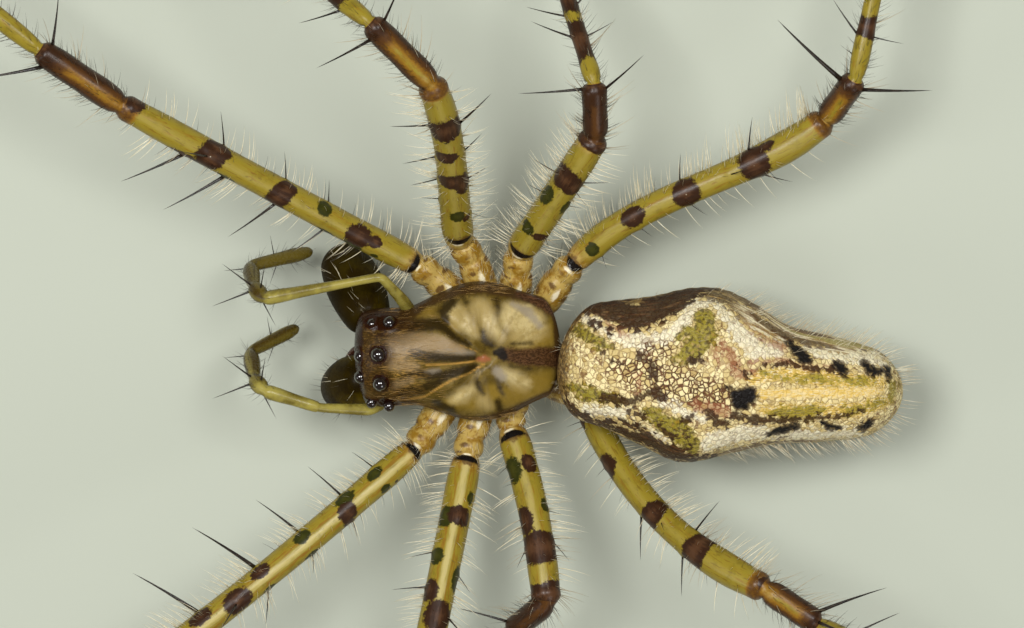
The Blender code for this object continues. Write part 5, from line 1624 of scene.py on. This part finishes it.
PATCH = 0.003  # size of a bristle's patch on the unwrap
# What guides the bristles and isn't needed on them afterwards
GUIDES = ("OFBake", "root_place", "patch", "lie", "aim", "size", "stand", "pale_coat", "pale_length",
          "dark_coat", "dark_length")


def unwrap_by_root(mesh):
    """Gives every bristle a small patch at its root's place on the unwrap of the skin."""
    def read(name):
        values = np.empty(len(mesh.vertices) * 3, np.float32)
        mesh.attributes[name].data.foreach_get("vector", values)
        return values.reshape(-1, 3)[:, :2]

    loops = np.empty(len(mesh.loops), np.int32)
    mesh.loops.foreach_get("vertex_index", loops)
    places = read("root_place") + (read("patch") - 0.5) * PATCH
    for name in [item.name for item in mesh.attributes if item.name in GUIDES]:
        mesh.attributes.remove(mesh.attributes[name])
    unwrap = mesh.uv_layers.new(name="OFBake")
    unwrap.data.foreach_set("uv", np.clip(places, 0, 1)[loops].ravel())


def spine_points(leg, name, rng):
    """Roots, aims, lies, sizes and places on the unwrap of the spines of one leg."""
    found = []
    for piece, share, turn, length, lean in leg_spines(name):
        row = leg.spot(piece, leg.on_skin(piece, share, turn))
        turn, lean = math.radians(turn), math.radians(lean + rng.uniform(-4, 4))
        out = leg.top[row] * math.cos(turn) + leg.front[row] * math.sin(turn)
        aim = out * math.cos(lean) + leg.along[row] * math.sin(lean)
        size = length * SPINE_SIZE[leg.pair] * rng.uniform(0.94, 1.08)
        root = leg.line[row] + out * leg.radius[row] * 0.92
        if aim[2] < 0:
            size = min(size, (root[2] - 0.05) / -aim[2])
        place = ((turn / (2 * math.pi)) % 1, (row + 1) / (len(leg.line) + 1), 0.0)
        found.append((root, aim, leg.along[row], size, place))
    return found


def tooth_points(side):
    """Two rows of teeth along the inner edge of a chelicera, beside the folded fang."""
    start, end = (np.array(place) for place in CHELICERAE[side])
    along = unit(end - start)
    inner = unit(np.array([0.15, -1.0 if side == "r" else 1.0, 0]))
    inner = unit(inner - along * (inner @ along))
    rearward = np.cross(along, inner)
    rearward = rearward if rearward[0] > 0 else -rearward
    found = []
    for row, turned in enumerate((0.35, 1.1)):
        out = unit(inner + rearward * turned)
        for share, size in ((0.45, 0.10), (0.55, 0.12), (0.65, 0.15), (0.75, 0.18), (0.84, 0.20)):
            root = start + (end - start) * share + out * smooth_rows(CHELICERA_RADII, share)[0] * 0.90
            found.append((root, unit(out + along * 0.25), -along, size, (0.25 + 0.5 * row, share, 0.0)))
    return found


def palp_bristles(side):
    """Roots, aims, lies, sizes and places on the unwrap of the bristles of one palp."""
    line, at, gone = palp_line(side)
    _, tops, fronts = frames_along(line, UP)
    found = []
    for joint, past, heading, pitch, size in PALP_BRISTLES:
        row = int(np.argmin(np.abs(at - gone[joint] - past)))
        aim = turn_to(heading, pitch)
        round_it = math.atan2(aim @ fronts[row], aim @ tops[row])
        place = ((round_it / (2 * math.pi)) % 1, (row + 1) / (len(line) + 1), 0.0)
        found.append((line[row] + aim * 0.08, aim, -UP, size, place))
    return found


def build_spines(sizes, finish):
    tree = spine_tree()
    template = taper_mesh("spine_template", 8, 8, 0.05, sizes.spine_thickness, 0.10)
    tooth = taper_mesh("tooth_template", 10, 7, 0.12, 0.55, 0.15)
    rng = np.random.default_rng(sizes.seed)
    jobs = [("spines_" + name, "legs", template, spine_points(leg, name, rng))
            for name, leg in LEG_LINES.items()]
    jobs += [("bristles_palp_" + side, "palps", template, palp_bristles(side)) for side in PALPS]
    jobs += [("teeth_" + side, "chelicerae", tooth, tooth_points(side)) for side in CHELICERAE]
    for name, slot, bristle, found in jobs:
        mesh = bpy.data.meshes.new("spine_roots")
        mesh.from_pydata([tuple(np.array(item[0]) * MM + PLACE) for item in found], [], [])
        for key, column, scale in (("aim", 1, 1), ("lie", 2, 1), ("size", 3, MM), ("root_place", 4, 1)):
            add_attribute(mesh, key, np.array([item[column] for item in found]) * scale)
        roots = bpy.data.objects.new("spine_roots", mesh)
        bpy.context.scene.collection.objects.link(roots)
        grown(roots, tree, {"Bristle": bristle, "Finish": finish}, name)
        bpy.data.objects.remove(roots)
    bpy.data.objects.remove(template)
    bpy.data.objects.remove(tooth)


def build_hair(sizes, colours):
    tree = hair_tree()
    on_legs = (("purple", -0.1, 0.3, 0.6), ("olive", -0.1, 0.3, 0.4), ("umber", 0.1, 0.6, 0.5))
    on_plan = (("flank_dark", -2, 2, 0.75), ("brown", -2, 2, 0.6), ("black", -2, 2, 0.8),
               ("olive", -2, 2, 0.4))
    on_shell = (("dark", -3, 3, 0.6), ("eyes", 0.0, 0.5, 0.6), ("purple", -3, 3, 0.4))
    pale = plain_finish("pale_hair", tuple(colours.hair_pale), (0.78, 0.68, 0.42), 0.35, marks=on_legs,
                        mark_colour=colours.hair_tan)
    body = plain_finish("body_hair", tuple(colours.hair_pale), (0.70, 0.55, 0.30), 0.35, marks=on_plan,
                        mark_colour=colours.hair_tan)
    gold = plain_finish("gold_hair", tuple(colours.hair_gold), (0.30, 0.17, 0.05), 0.35, marks=on_shell,
                        mark_colour=colours.shell_dark)
    dark = plain_finish("dark_hair", tuple(colours.hair_dark), (0.05, 0.035, 0.018), 0.35)
    fine = taper_mesh("hair_template", 3, 4, 0.13, sizes.hair_thickness)
    jobs = [("abdomen", "abdomen", body, "pale", sizes.body_hair, "abdomen", 0.25),
            ("carapace", "carapace", gold, "pale", 170.0, "carapace", 0.16)]
    for name in LEG_LINES:
        jobs.append(("leg_" + name, f"leg_{name}_pale", pale, "pale", sizes.leg_hair, "legs", 0.25))
        jobs.append(("leg_" + name, f"leg_{name}_dark", dark, "dark", sizes.leg_hair, "legs", 0.25))
    for side in CHELICERAE:
        jaw = "chelicera_" + side
        jobs.append((jaw, jaw + "_pale", pale, "pale", 14.0, "chelicerae", 0.3))
    for side in PALPS:
        jaw = "chelicera_" + side
        jobs.append(("palp_" + side, "palp_" + side, dark, "dark", 55.0, "palps", 0.3))
        jobs.append((jaw, jaw, dark, "dark", 16.0, "chelicerae", 0.3))
    for index, (skin, name, finish, kind, density, slot, mess) in enumerate(jobs):
        settings = {"Bristle": fine, "Finish": finish, "Density": density * 1e6, "Seed": sizes.seed + index,
                    "Where": kind + "_coat", "Length": kind + "_length", "Mess": mess}
        grown(bpy.data.objects["skin_" + skin], tree, settings, "hair_" + name)
    bpy.data.objects.remove(fine)


# Lamps: place and size in millimetres, and power in watts
LIGHTS = {
    "key": ((-34, 34, 110), 42, 0.086), "twin key": ((30, 38, 108), 42, 0.060),
    "fill": ((60, -70, 90), 60, 0.026), "rim": ((-90, -20, 60), 40, 0.012),
}


def build_stage(colours):
    made = Finish("pale_floor")
    made.set(Base_Color=tuple(colours.floor), Roughness=0.85)
    bpy.ops.mesh.primitive_plane_add(size=1.2, location=(0, 0, -0.00002))
    floor = bpy.context.object
    floor.name = "floor"
    floor.data.materials.append(made.material)
    world = bpy.context.scene.world or bpy.data.worlds.new("studio")
    bpy.context.scene.world = world
    world.use_nodes = True
    bpy.context.scene.view_settings.view_transform = "Standard"
    backdrop = world.node_tree.nodes["Background"]
    backdrop.inputs["Color"].default_value = (1.0, 0.98, 0.90, 1)
    backdrop.inputs["Strength"].default_value = 0.14
    for name, (place, size, power) in LIGHTS.items():
        light = bpy.data.lights.new(name, "AREA")
        light.shape = "DISK"
        light.size = size * MM
        light.energy = power
        lamp = bpy.data.objects.new(name, light)
        bpy.context.scene.collection.objects.link(lamp)
        lamp.location = spot = np.array(place) * MM + PLACE
        aim = unit(PLACE + np.array([1.0, 0, 2.0]) * MM - spot)
        lamp.rotation_euler = Vector(-aim).to_track_quat("Z", "Y").to_euler()


CAMERA_DISTANCE = 200.0
IMAGE_WIDTH, IMAGE_MIDDLE = 1024, (512.0, 314.0)
SENSOR = 36.0


def build_camera():
    up = np.array([0, math.cos(PLAN_LEAN), -math.sin(PLAN_LEAN)])
    back = np.array([0, math.sin(PLAN_LEAN), math.cos(PLAN_LEAN)])
    right = np.array([1.0, 0, 0])
    aim = (np.array([0, 0, FOVEA_HEIGHT]) + right * (IMAGE_MIDDLE[0] - PLAN_FOVEA[0]) * PLAN_UNIT
           + up * (PLAN_FOVEA[1] - IMAGE_MIDDLE[1]) * PLAN_UNIT)
    camera = bpy.data.cameras.new("camera")
    camera.sensor_width = SENSOR
    camera.lens = SENSOR * CAMERA_DISTANCE / (IMAGE_WIDTH * PLAN_UNIT)
    camera.clip_start = 0.005
    holder = bpy.data.objects.new("camera", camera)
    bpy.context.scene.collection.objects.link(holder)
    spot = (aim + back * CAMERA_DISTANCE) * MM + PLACE
    turn = Matrix((right, up, back)).transposed().to_4x4()
    holder.matrix_world = Matrix.Translation(spot) @ turn
    bpy.context.scene.camera = holder


# Operators
class SPIDER_OT_stage(bpy.types.Operator):
    """Make the camera, the pale floor and the soft lights"""
    bl_idname = "spider.stage"
    bl_label = "Stage"

    def execute(self, context):
        build_camera()
        build_stage(context.scene.spider_colours)
        return {"FINISHED"}


class SPIDER_OT_carapace(bpy.types.Operator):
    """Make the shell of head and thorax"""
    bl_idname = "spider.carapace"
    bl_label = "Carapace"

    def execute(self, context):
        build_carapace(carapace_finish(context.scene.spider_colours))
        return {"FINISHED"}


class SPIDER_OT_abdomen(bpy.types.Operator):
    """Make the marbled skin of the abdomen and the stalk"""
    bl_idname = "spider.abdomen"
    bl_label = "Abdomen"

    def execute(self, context):
        build_abdomen(abdomen_finish(context.scene.spider_colours))
        return {"FINISHED"}


class SPIDER_OT_legs(bpy.types.Operator):
    """Make one skin for each banded leg"""
    bl_idname = "spider.legs"
    bl_label = "Legs"

    def execute(self, context):
        finish = leg_finish(context.scene.spider_colours)
        for name in LEGS:
            build_leg(name, finish, context.scene.spider_sizes)
        return {"FINISHED"}


class SPIDER_OT_jaws(bpy.types.Operator):
    """Make chelicerae, fangs and palps"""
    bl_idname = "spider.jaws"
    bl_label = "Jaws and palps"

    def execute(self, context):
        colours = context.scene.spider_colours
        jaws = {}
        shade = colours.chelicera_dark
        # One chelicera colour, made darker on the right as painted shade and lighter on the left as painted
        # light
        for side, light in (("r", 0.50), ("l", 1.30)):
            shell = tuple(light * tone for tone in colours.chelicera)
            jaws[side] = horn_finish("chelicera_shell_" + side, shell, shade, shade, 0.42, 0.0, -0.2, False,
                                     0.04)
        fang = horn_finish("fang_horn", (0.10, 0.03, 0.012), (0.05, 0.015, 0.008), (0.02, 0.006, 0.004),
                           0.12)
        palp = horn_finish("palp_skin", colours.palp, colours.palp_dark, colours.palp_tip, 0.20, 0.56, 0.61,
                           gloss=0.34)
        for side in CHELICERAE:
            build_chelicera(side, jaws[side], fang)
            build_palp(side, palp)
        return {"FINISHED"}


class SPIDER_OT_underside(bpy.types.Operator):
    """Make sternum, lip, plates and spinnerets"""
    bl_idname = "spider.underside"
    bl_label = "Underside"

    def execute(self, context):
        build_underside(plain_finish("underside_shell", (0.075, 0.043, 0.011), (0.13, 0.080, 0.024), 0.38))
        build_spinnerets(plain_finish("spinneret_skin", (0.14, 0.09, 0.04), (0.24, 0.17, 0.08), 0.5))
        return {"FINISHED"}


class SPIDER_OT_eyes(bpy.types.Operator):
    """Make the eight glossy lenses"""
    bl_idname = "spider.eyes"
    bl_label = "Eyes"

    def execute(self, context):
        build_eyes(eye_finish(context.scene.spider_colours))
        return {"FINISHED"}


class SPIDER_OT_spines(bpy.types.Operator):
    """Set the black spines on legs and palps"""
    bl_idname = "spider.spines"
    bl_label = "Spines"

    def execute(self, context):
        horn = plain_finish("spine_horn", (0.012, 0.009, 0.007), (0.03, 0.02, 0.012), 0.25)
        build_spines(context.scene.spider_sizes, horn)
        return {"FINISHED"}


class SPIDER_OT_hair(bpy.types.Operator):
    """Grow the pale and dark hairs"""
    bl_idname = "spider.hair"
    bl_label = "Hair"

    def execute(self, context):
        build_hair(context.scene.spider_sizes, context.scene.spider_colours)
        return {"FINISHED"}


STEPS = [SPIDER_OT_stage, SPIDER_OT_carapace, SPIDER_OT_abdomen, SPIDER_OT_legs, SPIDER_OT_jaws,
         SPIDER_OT_underside, SPIDER_OT_eyes, SPIDER_OT_spines, SPIDER_OT_hair]


class SPIDER_PT_panel(bpy.types.Panel):
    """Lists the steps that build the spider."""
    bl_label = "Spider"
    bl_idname = "SPIDER_PT_panel"
    bl_space_type = "VIEW_3D"
    bl_region_type = "UI"
    bl_category = "Spider"

    def draw(self, context):
        for step in STEPS:
            self.layout.operator(step.bl_idname)
        for key in SPIDER_sizes.__annotations__:
            self.layout.prop(context.scene.spider_sizes, key)


CLASSES = [SPIDER_colours, SPIDER_sizes, *STEPS, SPIDER_PT_panel]


def register():
    for item in CLASSES:
        bpy.utils.register_class(item)
    bpy.types.Scene.spider_colours = PointerProperty(type=SPIDER_colours)
    bpy.types.Scene.spider_sizes = PointerProperty(type=SPIDER_sizes)


def unregister():
    del bpy.types.Scene.spider_colours
    del bpy.types.Scene.spider_sizes
    for item in reversed(CLASSES):
        bpy.utils.unregister_class(item)


def main():
    register()
    bpy.ops.spider.stage()
    bpy.ops.spider.carapace()
    bpy.ops.spider.abdomen()
    bpy.ops.spider.legs()
    bpy.ops.spider.jaws()
    bpy.ops.spider.underside()
    bpy.ops.spider.eyes()
    bpy.ops.spider.spines()
    bpy.ops.spider.hair()


if __name__ == "__main__":
    main()
